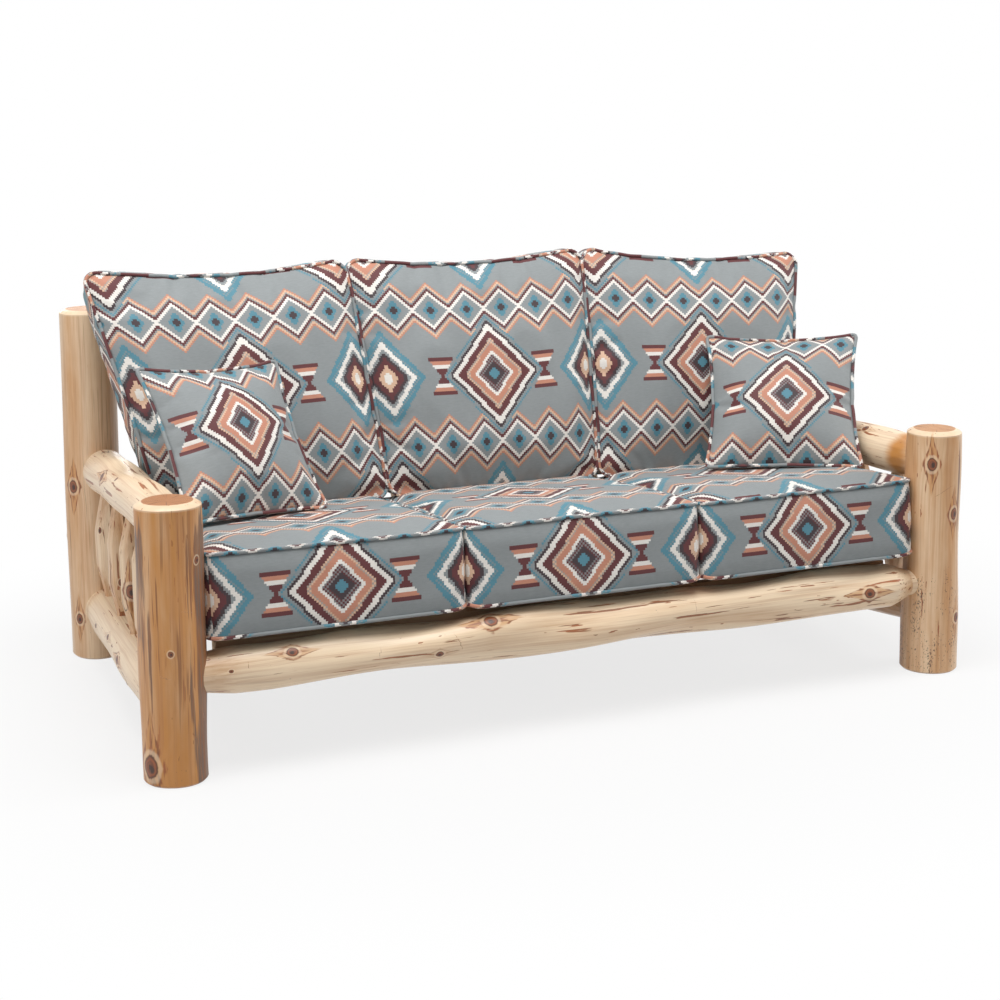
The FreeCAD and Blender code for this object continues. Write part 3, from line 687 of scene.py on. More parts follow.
def wrapped(angle):
    """Angle brought to within half a turn of 0."""
    return (angle + math.pi) % (2 * math.pi) - math.pi


def knot_fields(s2, t2, body, knots, rise):
    """Rise of the surface, a bell for each knot, and for every point the place across and along its nearest
    knot in that knot's sizes, how much flame the knot has, and the size."""
    knots = np.asarray(knots, float).reshape(-1, 3)
    size = knots[:, 2][:, None, None]
    across = body * wrapped(t2[None] - np.radians(knots[:, 1])[:, None, None]) / size
    along = (s2[None] - knots[:, 0, None, None]) / size
    far = np.hypot(across, along)
    no_flame, flame_span, usual = 0.005, 0.006, 0.014
    flare = np.broadcast_to(np.clip((size - no_flame) / flame_span, 0.0, 1.0), far.shape)
    bells = rise * np.clip(size / usual, 0.5, 1.4) * np.exp(-(across ** 2 + along ** 2) / 3.2)
    nearest = far.argmin(0)[None]
    picked = [np.take_along_axis(field, nearest, 0)[0] for field in (across, along, flare)]
    return bells.sum(0), picked, size[nearest[0], 0, 0]


def stain_field(s2, t2, bands):
    """Strongest of the stain bands, each a bell in turn times a soft window in distance."""
    soft = 0.12
    stain = np.zeros(np.broadcast(s2, t2).shape)
    for angle, width, low, high, amount in bands:
        gap = wrapped(t2 - math.radians(angle))
        window = np.clip((s2 - low) / soft + 0.4, 0, 1) * np.clip((high - s2) / soft + 0.4, 0, 1)
        stain = np.maximum(stain, amount * np.exp(-(gap / math.radians(width)) ** 2) * window)
    return stain


def log_surface(foot, way, profile, form, looks, rng, knots):
    """Surface of a log over distance s and turn t: radius = the profile's, times a polygon's where the knife
    left facets, plus long lumps cos(f s + n t) and a bell for each knot, about an axis that wanders
    sideways by sines that vanish at both ends. Returns rows of points, their centres, and the grain, knot,
    tone, wear and section attributes. The grain bends round a knot."""
    s, radius, free, carve, _ = profile
    length = s[-1]
    body = radius.max()
    start = np.array([0.0, -1.0, 0.0]) if abs(way[1]) < 0.9 else np.array([0.0, 0.0, 1.0])
    front = unit(start - way * (start @ way))
    side = np.cross(way, front)
    turn = np.linspace(-math.pi, math.pi, form.around, endpoint=False)
    s2 = s[:, None]
    t2 = turn[None, :]
    pitch = 2 * math.pi / form.facets
    whittled = form.facets <= MOST_WHITTLED
    drift = 0.0 if whittled else 0.25 * np.sin(s2 * 5.0 + rng.uniform(*ANY_PHASE))
    column = 2 * math.pi / form.around
    first_edge = rng.integers(0, form.around // form.facets) * column if whittled else rng.uniform(0, pitch)
    hair = 1e-6
    from_edge = np.mod(t2 + math.pi + drift - first_edge + hair, 2 * math.pi)
    polygon = math.cos(pitch / 2) / np.cos(np.mod(from_edge, pitch) - pitch / 2)
    body_facet = looks.spindle_facet if whittled else looks.facet * free
    flat = np.maximum(body_facet, looks.shoulder_facet * carve)[:, None]
    r = radius[:, None]
    if whittled:
        cuts = form.taper * rng.uniform(0.78, 1.3, (2, form.facets))
        facet = np.floor(from_edge / pitch).astype(int) % form.facets
        cut = np.where(s2 < length / 2, cuts[0][facet], cuts[1][facet])
        share = np.clip((np.minimum(s2, length - s2) - form.neck) / cut, 0.0, 1.0)
        r = radius.min() + (body - radius.min()) * share
    r = r * (1.0 + flat * (polygon - 1.0))
    loose = free[:, None]
    whole = (radius / body)[:, None]
    lump = np.zeros_like(r)
    lump_count = 9
    for wave in range(lump_count):
        turns = wave % 4
        pace = rng.uniform(1.5, 9.0) * (1.0 if turns else 0.6)
        lump += np.cos(s2 * pace * 2.2 + t2 * turns + rng.uniform(*ANY_PHASE)) * rng.uniform(0.4, 1.0)
    r = r + form.lumps * lump * loose * whole
    wander = np.zeros((len(s), 2))
    for wave in (1, 2, 3):
        swing = np.sin(math.pi * wave * s / length) / wave
        wander += swing[:, None] * rng.uniform(-1.0, 1.0, 2) * form.wander
    wander += np.sin(math.pi * s / length)[:, None] * np.array(form.bow)
    bells, (across, along, flare), size = knot_fields(s2, t2, body, knots, looks.knot_rise)
    r = r + bells * loose * whole
    farthest = 30.0
    knot_rows = np.stack([np.clip(field, -farthest, farthest) for field in (across, along, flare)], axis=-1)
    bend = np.sign(across) * np.exp(-np.abs(across) / 1.6) * np.exp(-(along / 2.6) ** 2)
    bent = t2 + bend * size * 1.1 / body
    own_place = rng.uniform(-40.0, 40.0, 3)
    core = radius[:, None]
    grain, section = [np.stack(np.broadcast_arrays(core * np.cos(angle), core * np.sin(angle), s2), -1)
                      for angle in (bent, t2)]
    grain = grain + own_place
    section = section + (0.0, 0.0, own_place[0])
    honey = form.tone[0] + form.shoulder_tone * carve + rng.uniform(-0.08, 0.08)
    level = np.ones_like(r)
    tone = np.stack([level * honey[:, None], level * form.tone[1], level * form.tone[2]], -1)
    low, high, amount = form.specks
    speck = amount * np.clip((high - s2) / 0.08, 0, 1) * np.clip((s2 - low) / 0.02 + 1, 0, 1) * level
    rim = np.clip((s - length + POST_RIM_DROP) / (0.5 * POST_RIM_DROP) + 1.0, 0, 1) * (form.taper == 0.0)
    wear = np.stack([stain_field(s2, t2, form.stains), speck, level * rim[:, None]], -1)
    centre = foot + s[:, None] * way + wander[:, :1] * front + wander[:, 1:] * side
    rows = centre[:, None] + r[..., None] * (np.cos(t2)[..., None] * front + np.sin(t2)[..., None] * side)
    return rows, centre, {"grain": grain, "knot": knot_rows, "tone": tone, "wear": wear, "section": section}


def tube_faces(row_count, around):
    """Quads between neighbouring rows of a closed tube whose first point is a pole, then fans to both
    poles."""
    i = np.arange(row_count - 1)[:, None]
    ring = np.arange(around)
    following = (ring + 1) % around
    a = 1 + i * around + ring
    b = 1 + i * around + following
    quads = np.stack([a, b, b + around, a + around], -1).reshape(-1, 4)
    first = np.stack([np.zeros(around, int), 1 + following, 1 + ring], -1)
    last_row = 1 + (row_count - 1) * around
    last = np.full(around, last_row + around)
    second = np.stack([last_row + ring, last_row + following, last], -1)
    return quads, first, second


def log_piece(node, form, seed, tools):
    """One peeled log in place of its CAD node."""
    looks, wood, sawn = tools
    rng = np.random.default_rng(seed)
    form = form._replace(**OWN.get(node, {}))
    foot, way, length, tenon, body = log_axis(node)
    if way.sum() < 0:
        foot = foot + way * length
        way = -way
    is_post = form.taper == 0.0
    profile = post_profile(form, length, body) if is_post else stick_profile(form, length, tenon, body)
    at_foot, at_tip = form.slim
    slim = 1.0 - at_foot - (at_tip - at_foot) * profile[0] / length
    profile = (profile[0], profile[1] * slim) + profile[2:]
    low, high = [0.1 * length, -180.0, 0.004], [0.9 * length, 180.0, 0.011]
    spare = rng.uniform(low, high, (form.spare_knots, 3)).tolist()
    knots = list(form.knots)
    knots += [k for k in spare if all(abs(k[0] - known[0]) > KNOT_CLEARANCE for known in form.knots)]
    rows, centre, vectors = log_surface(foot, way, profile, form, looks, rng, knots or spare[:1])
    count, around = rows.shape[:2]
    points = np.concatenate([centre[:1], rows.reshape(-1, 3), centre[-1:]])
    flat = {}
    for key, values in vectors.items():
        poles = values.mean(1)
        flat[key] = np.concatenate([poles[:1], values.reshape(-1, 3), poles[-1:]])
    ends = profile[4]
    sawn_band = np.repeat(ends[:-1] & ends[1:], around)
    caps = np.ones(2 * around, bool)
    piece = put_mesh(node + "_log", points, tube_faces(count, around), wood, flat, second=sawn,
                     second_faces=np.concatenate([sawn_band, caps]), sharp=SHARP_EDGE)
    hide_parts(node)
    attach(piece, "frame")
    return piece


def make_logs(context, nodes, form, seed):
    """The logs of a group, with the two wood materials made once."""
    looks = context.scene.log_looks
    made = bpy.data.materials
    wood = made.get("peeled_log_wood") or log_wood(looks)
    sawn = made.get("sawn_log_end") or end_grain(looks)
    for index, node in enumerate(nodes):
        log_piece(node, form, seed + index, (looks, wood, sawn))
    return {"FINISHED"}


class OBJECT_OT_sofa_posts(bpy.types.Operator):
    """Four round posts with bevelled tops"""
    bl_idname = "object.sofa_posts"
    bl_label = "Posts"

    def execute(self, context):
        nodes = ["%s_post_%s" % (row, side) for row in ("front", "back") for side in SIDES]
        return make_logs(context, nodes, POST, 101)


class OBJECT_OT_sofa_side_logs(bpy.types.Operator):
    """Arm logs and lower side logs"""
    bl_idname = "object.sofa_side_logs"
    bl_label = "Arm and lower logs"

    def execute(self, context):
        make_logs(context, ["arm_log_" + side for side in SIDES], ARM_LOG, 211)
        return make_logs(context, ["lower_log_" + side for side in SIDES], LOWER_LOG, 221)


class OBJECT_OT_sofa_rails(bpy.types.Operator):
    """Front rail, rear seat rail and back top rail"""
    bl_idname = "object.sofa_rails"
    bl_label = "Rails"

    def execute(self, context):
        make_logs(context, ["front_rail"], RAIL, 301)
        make_logs(context, ["back_top_rail"], TOP_RAIL, 302)
        return make_logs(context, ["rear_seat_rail"], REAR_RAIL, 311)


class OBJECT_OT_sofa_spindles(bpy.types.Operator):
    """Spindles under the arms and in the back"""
    bl_idname = "object.sofa_spindles"
    bl_label = "Spindles"

    def execute(self, context):
        arm, back = [sorted(node for node in frame["nodes"] if node.startswith(kind))
                     for kind in ("arm_spindle", "back_spindle")]
        make_logs(context, arm, ARM_SPINDLE, 401)
        return make_logs(context, back, BACK_SPINDLE, 421)


class OBJECT_OT_sofa_deck(bpy.types.Operator):
    """Finishes of the slats, ledger, plugs and screws, which keep their own shapes"""
    bl_idname = "object.sofa_deck"
    bl_label = "Deck and fasteners"

    def execute(self, context):
        looks = context.scene.log_looks
        steel = screw_steel()
        finishes = {
            "seat_slat": board_wood(looks, "slat_board", 1),
            "seat_ledger": board_wood(looks, "ledger_board", 0),
            "lag_plugs": board_wood(looks, "plug_end_wood", 1),
            "deck_screws": steel,
            "rail_lag_screws": steel,
        }
        for node, piece in frame["nodes"].items():
            for start, finish in finishes.items():
                if node.startswith(start):
                    piece.data.materials.clear()
                    piece.data.materials.append(finish)
        return {"FINISHED"}


Lattice = namedtuple("Lattice", "counts keys abc quads corner_abc corner_side")
LATTICE_EDGE = 0.999
# How a kind of cushion is filled: its fill, how stiff its seams are held, the share by which its cloth is
# larger than the form, the furthest that filling moves it, and how far its figures may lie off centre
Filling = namedtuple("Filling", "fill seam_hold slack reach off_centre")
SEAT_FILLING = Filling(0.75, 0.55, 0.012, 0.024, 0.012)
BACK_FILLING = Filling(0.6, 0.45, 0.03, 0.028, 0.015)
PILLOW_FILLING = Filling(0.7, 0.5, 0.03, 0.022, 0.02)


def strides(counts):
    """How far apart the numbers of neighbouring grid points are along each axis."""
    return np.array([(counts[1] + 1) * (counts[2] + 1), counts[2] + 1, 1])


def box_lattice(counts):
    """Skin of a box of counts cells: shared points with coordinates from -1 to 1, quads that face outwards,
    and the coordinates and side (axis times 2, plus 1 at the high end) of each quad's corners."""
    counts = np.asarray(counts)
    stride = strides(counts)
    cells = []
    sides = []
    for axis in range(3):
        first, second = (axis + 1) % 3, (axis + 2) % 3
        i, j = np.meshgrid(np.arange(counts[first]), np.arange(counts[second]), indexing="ij")
        i = i.ravel()[:, None] + np.array([0, 1, 1, 0])
        j = j.ravel()[:, None] + np.array([0, 0, 1, 1])
        for high in (0, 1):
            cell = np.zeros(i.shape + (3,), int)
            cell[..., axis] = high * counts[axis]
            cell[..., first] = i
            cell[..., second] = j
            cells.append(cell if high else cell[:, ::-1])
            sides.append(np.full(len(i), 2 * axis + high))
    cells = np.concatenate(cells)
    keys, index = np.unique((cells @ stride).ravel(), return_inverse=True)
    ijk = np.stack([keys // stride[0], keys % stride[0] // stride[1], keys % stride[1]], -1)
    return Lattice(counts, keys, ijk * 2.0 / counts - 1.0, index.reshape(-1, 4), cells * 2.0 / counts - 1.0,
                   np.repeat(np.concatenate(sides), 4).reshape(-1, 4))


def lattice_ring(lattice, axis, end):
    """Point numbers in order round the edge of the lattice's side at one end of an axis."""
    counts = lattice.counts
    stride = strides(counts)
    first, second = (axis + 1) % 3, (axis + 2) % 3
    m, n = counts[first], counts[second]
    i = np.concatenate([np.arange(m), np.full(n, m), np.arange(m, 0, -1), np.zeros(n, int)])
    j = np.concatenate([np.zeros(m, int), np.arange(n), np.full(m, n), np.arange(n, 0, -1)])
    key = end * counts[axis] * stride[axis] + i * stride[first] + j * stride[second]
    return np.searchsorted(lattice.keys, key)


def on_edge(coordinate):
    """Whether a lattice coordinate lies at either end of its axis."""
    return np.abs(coordinate) > LATTICE_EDGE


def cover_uv(lattice, half, rng, off_centre):
    """Cloth coordinates in metres of every quad corner: across and up the panel that the side belongs to, a
    little off centre."""
    shift = rng.uniform(-off_centre, off_centre, 2)
    a, b, c = np.moveaxis(lattice.corner_abc * half, -1, 0)
    side = lattice.corner_side // 2
    u = np.choose(side, [b, a, a])
    v = np.choose(side, [c, c, b])
    return np.stack([u + shift[0], v + shift[1]], -1).reshape(-1, 2)


def rounded(p, q, half_p, half_q, radius):
    """Rectangle with round corners: the square of side radius in each corner is pressed into a quarter disc
    by u sqrt(1 - v v / 2) and v sqrt(1 - u u / 2)."""
    u = np.clip((np.abs(p) - half_p + radius) / radius, 0.0, 1.0)
    v = np.clip((np.abs(q) - half_q + radius) / radius, 0.0, 1.0)
    core_p = np.minimum(np.abs(p), half_p - radius)
    core_q = np.minimum(np.abs(q), half_q - radius)
    return (np.sign(p) * (core_p + radius * u * np.sqrt(1 - v ** 2 / 2)),
            np.sign(q) * (core_q + radius * v * np.sqrt(1 - u ** 2 / 2)))


def grid_counts(size, grid):
    least = 2
    return [max(least, int(round(length / grid))) for length in size]


def set_points(piece, points):
    piece.data.vertices.foreach_set("co", np.ascontiguousarray(points, dtype=np.float32).ravel())
    piece.data.update()


def swell(piece, holds, pressure, filling):
    """Fills a sewn cover: Blender's Cloth with pressure and no gravity for 20 frames, its cloth larger than
    the form by the filling's slack, its held points stiff, and no point moved past the filling's reach."""
    start = mesh_rows(piece)
    group = piece.vertex_groups.new(name="held")
    levels = np.unique(np.round(holds, 2))
    for level in levels[levels > 0]:
        group.add(np.flatnonzero(np.round(holds, 2) == level).tolist(), float(level), "REPLACE")
    cloth = piece.modifiers.new("Cloth", "CLOTH")
    settings = cloth.settings
    settings.quality = 5
    settings.mass = 0.25
    settings.tension_stiffness = 18.0
    settings.compression_stiffness = 18.0
    settings.shear_stiffness = 6.0
    settings.bending_stiffness = 0.6
    settings.use_pressure = True
    settings.uniform_pressure_force = pressure
    settings.effector_weights.gravity = 0.0
    settings.shrink_min = -filling.slack
    settings.vertex_group_mass = "held"
    settings.pin_stiffness = 1.0
    cloth.collision_settings.use_collision = False
    cloth.collision_settings.use_self_collision = False
    last_frame = 20
    cloth.point_cache.frame_start = 1
    cloth.point_cache.frame_end = last_frame
    scene = bpy.context.scene
    for number in range(1, last_frame + 1):
        scene.frame_set(number)
    graph = bpy.context.evaluated_depsgraph_get()
    filled = mesh_rows(piece.evaluated_get(graph))
    piece.modifiers.remove(cloth)
    piece.vertex_groups.remove(group)
    scene.frame_set(1)
    move = filled - start
    reach = np.linalg.norm(move, axis=1, keepdims=True)
    least = 1e-9
    set_points(piece, start + move * np.minimum(1.0, filling.reach / np.maximum(reach, least)))


def smoothed_ring(points, passes):
    """Closed line eased by the mean of each point and its neighbours."""
    for _ in range(passes):
        points = (np.roll(points, 1, 0) + 2 * points + np.roll(points, -1, 0)) / 4
    return points


def after(rows):
    """The rows of a closed line moved up by one."""
    return np.roll(rows, -1, 0)


def welt_piece(name, piece, lattice, rings, width, cloth, body, low_lift=(0.0, 0.0, 0.0)):
    """Covered cords sewn round a cushion: a circle carried along each seam, proud of the cover by two thirds
    of its width; the cloth's figures run along it. Seams at an axis's low end are moved by low_lift."""
    points = mesh_rows(piece)
    normals = mesh_rows(piece, "normal")
    round_count = 10
    proud = 0.16
    turn = np.linspace(0.0, 2 * math.pi, round_count, endpoint=False)
    cloth_width = width * 3
    first_v, next_v = 0.04, 0.13
    all_points, all_faces, all_uv = [], [], []
    base = 0
    for number, (axis, end) in enumerate(rings):
        order = lattice_ring(lattice, axis, end)
        path = smoothed_ring(points[order], 2) + (1 - end) * np.array(low_lift)
        out = unit(smoothed_ring(normals[order], 4))
        path = np.stack([path, (path + after(path)) / 2], 1).reshape(-1, 3)
        out = unit(np.stack([out, unit(out + after(out))], 1).reshape(-1, 3))
        tangent = unit(after(path) - np.roll(path, 1, 0))
        side = unit(np.cross(tangent, out))
        out = np.cross(side, tangent)
        centre = path + out * width * proud
        ring = np.cos(turn)[None, :, None] * out[:, None] + np.sin(turn)[None, :, None] * side[:, None]
        tube = centre[:, None] + ring * width / 2
        count = len(path)
        run = np.concatenate([[0.0], np.cumsum(np.linalg.norm(after(path) - path, axis=1))])
        i = np.arange(count)[:, None]
        j = np.arange(round_count)[None, :]
        here, there = i * round_count, (i + 1) % count * round_count
        beside = (j + 1) % round_count
        quads = np.stack([here + j, there + j, there + beside, here + beside], -1).reshape(-1, 4)
        low_v = (j / round_count) * cloth_width + first_v + next_v * number
        high_v = low_v + cloth_width / round_count
        u = np.stack([run[i], run[i + 1], run[i + 1], run[i]], -1)
        v = np.stack([low_v, low_v, high_v, high_v], -1)
        all_points.append(tube.reshape(-1, 3))
        all_faces.append(quads + base)
        all_uv.append(np.stack(np.broadcast_arrays(u, v), -1).reshape(-1, 2))
        base += count * round_count
    made = put_mesh(name, np.concatenate(all_points), all_faces, cloth, uv=np.concatenate(all_uv))
    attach(made, body)
    return made


def cushion_piece(body, covered, lattice, points, uv, cloth):
    """Sewn cover as one closed mesh, in place of its CAD cover and filling."""
    piece = put_mesh(body + "_cover", points, [lattice.quads], cloth, uv=uv)
    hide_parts(*covered)
    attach(piece, body)
    return piece


def refine(piece):
    """One subdivision, live."""
    finer = piece.modifiers.new("Subdivision", "SUBSURF")
    finer.levels = 1
    finer.render_levels = 1


def cloth_material(context):
    return bpy.data.materials.get("jacquard_cloth") or woven_cover(context.scene.cloth_looks)


def rumple(shape, rng, pace, amount):
    """Slow dents over a panel: a few cosines of random direction."""
    a, b, c = np.moveaxis(shape, -1, 0)
    total = np.zeros(len(a))
    waves = 7
    for _ in range(waves):
        wave = rng.normal(0.0, pace, 3)
        total += np.cos(a * wave[0] + b * wave[1] + c * wave[2] + rng.uniform(*ANY_PHASE))
    return total * amount / waves


# Seat cushions: how high the crown is at the sides, how deep the dents are, how far the lower front corners
# lift (and the one at the left arm), how far a cover may press past its box at a neighbour, at an arm and in
# front, and the share of its thickness by which the lower welt is lifted off the slats
SEAT_SIDE_CROWN = 0.006
SEAT_DENTS = 0.004
SEAT_CORNER_LIFT = 0.008
LEFT_CORNER_LIFT = 0.002
SEAT_PRESS = 0.0004
SEAT_ARM_PRESS = 0.004
SEAT_FRONT_PRESS = 0.009
LOW_WELT_LIFT = 0.6


class OBJECT_OT_sofa_seat_cushions(bpy.types.Operator):
    """Three boxed seat cushions with welted seams"""
    bl_idname = "object.sofa_seat_cushions"
    bl_label = "Seat cushions"

    def execute(self, context):
        sizes = context.scene.cushion_sizes
        cloth = cloth_material(context)
        for index, third in enumerate(THIRDS):
            rng = np.random.default_rng(510 + index)
            low, high = local_box("seat_cover_" + third, SEAT_AXES)
            size = high - low - (0.0, 0.0, sizes.seat_crown)
            middle = (low + high - (0.0, 0.0, sizes.seat_crown)) / 2
            lattice = box_lattice(grid_counts(size, sizes.grid))
            a, b, c = lattice.abc.T
            half = size / 2
            x, y = rounded(a * half[0], b * half[1], half[0], half[1], sizes.seat_corner)
            y = y + b * sizes.boxing_swell * (1 - c ** 2)
            side_crown = SEAT_SIDE_CROWN + (sizes.seat_crown - SEAT_SIDE_CROWN) * (1 - a ** 2)
            crown = side_crown * (1 - b ** 4)
            up = (c + 1) / 2
            z = c * half[2] + up * crown + up * rumple(lattice.abc, rng, 3.0, SEAT_DENTS)
            at_left, at_right = third == "left", third == "right"
            lift = np.where(at_left & (a < 0), LEFT_CORNER_LIFT, SEAT_CORNER_LIFT)
            z = z + (1 - up) * lift * np.abs(a) ** 30 * ((1 - b) / 2) ** 8
            local = np.stack([x, y, z], -1) + middle
            uv = cover_uv(lattice, half, rng, SEAT_FILLING.off_centre)
            body = "seat_cushion_" + third
            covered = ("seat_cover_" + third, "seat_foam_" + third)
            piece = cushion_piece(body, covered, lattice, local @ SEAT_AXES, uv, cloth)
            seam = on_edge(c) & (on_edge(a) | on_edge(b))
            holds = np.where(c < -LATTICE_EDGE, 1.0, seam * SEAT_FILLING.seam_hold)
            swell(piece, holds, sizes.pressure, SEAT_FILLING)
            least = low - (SEAT_PRESS, SEAT_FRONT_PRESS, 0.0) - (SEAT_ARM_PRESS * at_left, 0.0, 0.0)
            most = high + (SEAT_PRESS, 0.0, 0.0) + (SEAT_ARM_PRESS * at_right, 0.0, 0.0)
            set_points(piece, np.clip(mesh_rows(piece) @ SEAT_AXES.T, least, most) @ SEAT_AXES)
            low_lift = LOW_WELT_LIFT * sizes.welt * SEAT_AXES[2]
            seams = [(2, 0), (2, 1)]
            welt_piece("seat_welt_" + third, piece, lattice, seams, sizes.welt, cloth, body, low_lift)
            refine(piece)
        return {"FINISHED"}


# Back cushions: the shares of the height at the foot and the head whose width is taken, how far the head's
# right corner slumps, the room left above the head and its swell, how much higher the bottom and how much
# narrower the cover is at the rear, the room left behind it, how deep the dents are, and how far a cover may
# press past its form in front and above, and at the sides
BACK_FOOT_SLICE = 0.03
BACK_HEAD_SLICE = 0.16
BACK_SLUMPS = {"right": 0.042}
BACK_HEAD_ROOM = 0.004
BACK_HEAD_SWELL = 0.012
BACK_REAR_RISE = 0.0265
BACK_REAR_NARROWING = 0.045
BACK_REAR_ROOM = 0.010
BACK_DENTS = 0.016
BACK_PRESS = 0.012
BACK_SIDE_PRESS = 0.003


class OBJECT_OT_sofa_back_cushions(bpy.types.Operator):
    """Three loose boxed back cushions with raised corners"""
    bl_idname = "object.sofa_back_cushions"
    bl_label = "Back cushions"

    def execute(self, context):
        sizes = context.scene.cushion_sizes
        cloth = cloth_material(context)
        for index, third in enumerate(THIRDS):
            rng = np.random.default_rng(530 + index)
            local = node_points("back_cover_" + third) @ BACK_AXES.T
            low, high = local.min(0), local.max(0)
            reach = high - low
            foot = local[local[:, 2] < low[2] + BACK_FOOT_SLICE * reach[2]]
            head = local[local[:, 2] > high[2] - BACK_HEAD_SLICE * reach[2]]
            foot_x = (foot[:, 0].min(), foot[:, 0].max())
            head_x = (head[:, 0].min(), head[:, 0].max())
            front = low[1] + sizes.back_front_crown
            rear = high[1] - sizes.back_rear_crown
            size = np.array([head_x[1] - head_x[0], rear - front, reach[2]])
            lattice = box_lattice(grid_counts(size, sizes.grid))
            a, b, c = lattice.abc.T
            share = (c + 1) / 2
            left = foot_x[0] + (head_x[0] - foot_x[0]) * share
            right = foot_x[1] + (head_x[1] - foot_x[1]) * share
            rear_share = (b + 1) / 2
            slump = BACK_SLUMPS.get(third, 0.0) * (1 + a) / 2
            dip = sizes.back_dip * (1 - a ** 2)
            top = high[2] - BACK_HEAD_ROOM - dip - slump + BACK_HEAD_SWELL * (1 - b ** 2)
            bottom = low[2] + BACK_REAR_RISE * rear_share
            narrow = 1.0 - BACK_REAR_NARROWING * rear_share
            half_x = (right - left) / 2
            half_z = (top - bottom) / 2
            x, z = rounded(a * half_x, c * half_z, half_x, half_z, sizes.back_corner)
            x = (left + right) / 2 + x * narrow
            z = (top + bottom) / 2 + z
            sag = (1 - c ** 2) * (1 - 0.30 * c)
            crown_share = 0.24 + 0.76 * (1 - a ** 2)
            front_crown = sizes.back_front_crown * 0.88 * crown_share * sag
            rear_crown = (sizes.back_rear_crown - BACK_REAR_ROOM) * crown_share * (1 - c ** 2)
            dents = rumple(lattice.abc, rng, 4.2, BACK_DENTS) * (1 - a ** 8) * (1 - c ** 8)
            y = (front + rear) / 2 + b * (rear - front) / 2
            y = y + np.where(b > 0, b * rear_crown, b * (front_crown + dents))
            uv = cover_uv(lattice, size / 2, rng, BACK_FILLING.off_centre)
            body = "back_cushion_" + third
            covered = ("back_cover_" + third, "back_fill_" + third)
            points = np.stack([x, y, z], -1) @ BACK_AXES
            piece = cushion_piece(body, covered, lattice, points, uv, cloth)
            seam = on_edge(b) & (on_edge(a) | on_edge(c))
            held = (c < -LATTICE_EDGE) | (b > LATTICE_EDGE)
            holds = np.where(held, 1.0, seam * BACK_FILLING.seam_hold)
            swell(piece, holds, sizes.pressure, BACK_FILLING)
            moved = mesh_rows(piece) @ BACK_AXES.T
            moved[:, 0] = np.clip(moved[:, 0], left - BACK_SIDE_PRESS, right + BACK_SIDE_PRESS)
            moved[:, 1] = np.clip(moved[:, 1], low[1] - BACK_PRESS, high[1])
            moved[:, 2] = np.clip(moved[:, 2], bottom, high[2] + BACK_PRESS)
            set_points(piece, moved @ BACK_AXES)
            welt_piece("back_welt_" + third, piece, lattice, [(1, 0), (1, 1)], sizes.welt, cloth, body)
            refine(piece)
        return {"FINISHED"}


# Pillows: the side of the middle, then the turn, lean and roll in the seat's frame, in degrees; how far their
# edges draw in between the corners, and the lower one; how deep the dents are; and the room for the cover to
# press past its box in front
PILLOW_SET = {"left": (-1.0, 21.5, 28.5, 1.5), "right": (1.0, 29.5, 34.0, -1.75)}
PILLOW_PINCH = 0.016
PILLOW_LOW_PINCH = 0.004
PILLOW_DENTS = 0.008
PILLOW_PRESS = 0.012


def pillow_axes(side):
    """Rows of a pillow's own axes: across it, through it and up it."""
    sign, yaw, lean, roll = PILLOW_SET[side]
    turns = (Matrix.Rotation(math.radians(-sign * yaw), 3, "Z")
             @ Matrix.Rotation(math.radians(-sign * roll), 3, "Y")
             @ Matrix.Rotation(math.radians(-lean), 3, "X"))
    return np.array(turns).T @ SEAT_AXES


class OBJECT_OT_sofa_pillows(bpy.types.Operator):
    """Two knife-edge throw pillows"""
    bl_idname = "object.sofa_pillows"
    bl_label = "Pillows"

    def execute(self, context):
        sizes = context.scene.cushion_sizes
        cloth = cloth_material(context)
        for index, side in enumerate(SIDES):
            rng = np.random.default_rng(550 + index)
            axes = pillow_axes(side)
            low, high = local_box("pillow_cover_" + side, axes)
            size = np.array([high[0] - low[0], sizes.pillow_edge, high[2] - low[2]])
            middle = (low + high) / 2
            counts = grid_counts(size, sizes.grid * 0.85)
            counts[1] = 1
            lattice = box_lattice(counts)
            a, b, c = lattice.abc.T
            full = (high[1] - low[1]) / 2 - sizes.pillow_edge / 2
            lens = ((1 - a ** 2) * (1 - c ** 2)) ** 0.62
            x = a * (size[0] / 2 - PILLOW_PINCH * (1 - c ** 2))
            z = c * (size[2] / 2 - np.where(c > 0, PILLOW_PINCH, PILLOW_LOW_PINCH) * (1 - a ** 2))
            dents = rumple(lattice.abc, rng, 4.0, PILLOW_DENTS) * lens
            y = b * (0.35 * sizes.pillow_edge + 0.86 * full * lens + dents)
            local = np.stack([x, y, z], -1) + middle
            uv = cover_uv(lattice, size / 2, rng, PILLOW_FILLING.off_centre)
            body = "pillow_" + side
            covered = ("pillow_cover_" + side, "pillow_fill_" + side)
            piece = cushion_piece(body, covered, lattice, local @ axes, uv, cloth)
            seam = on_edge(a) | on_edge(c)
            swell(piece, seam * PILLOW_FILLING.seam_hold, sizes.pressure, PILLOW_FILLING)
            moved = mesh_rows(piece) @ axes.T
            moved[:, 1] = np.clip(moved[:, 1], low[1] - PILLOW_PRESS, high[1])
            for way in (0, 2):
                least, most = moved[:, way].min(), moved[:, way].max()
                moved[:, way] = low[way] + (moved[:, way] - least) * (high[way] - low[way]) / (most - least)
            set_points(piece, moved @ axes)
            welt_piece("pillow_welt_" + side, piece, lattice, [(1, 0)], sizes.welt, cloth, body)
            refine(piece)
        return {"FINISHED"}


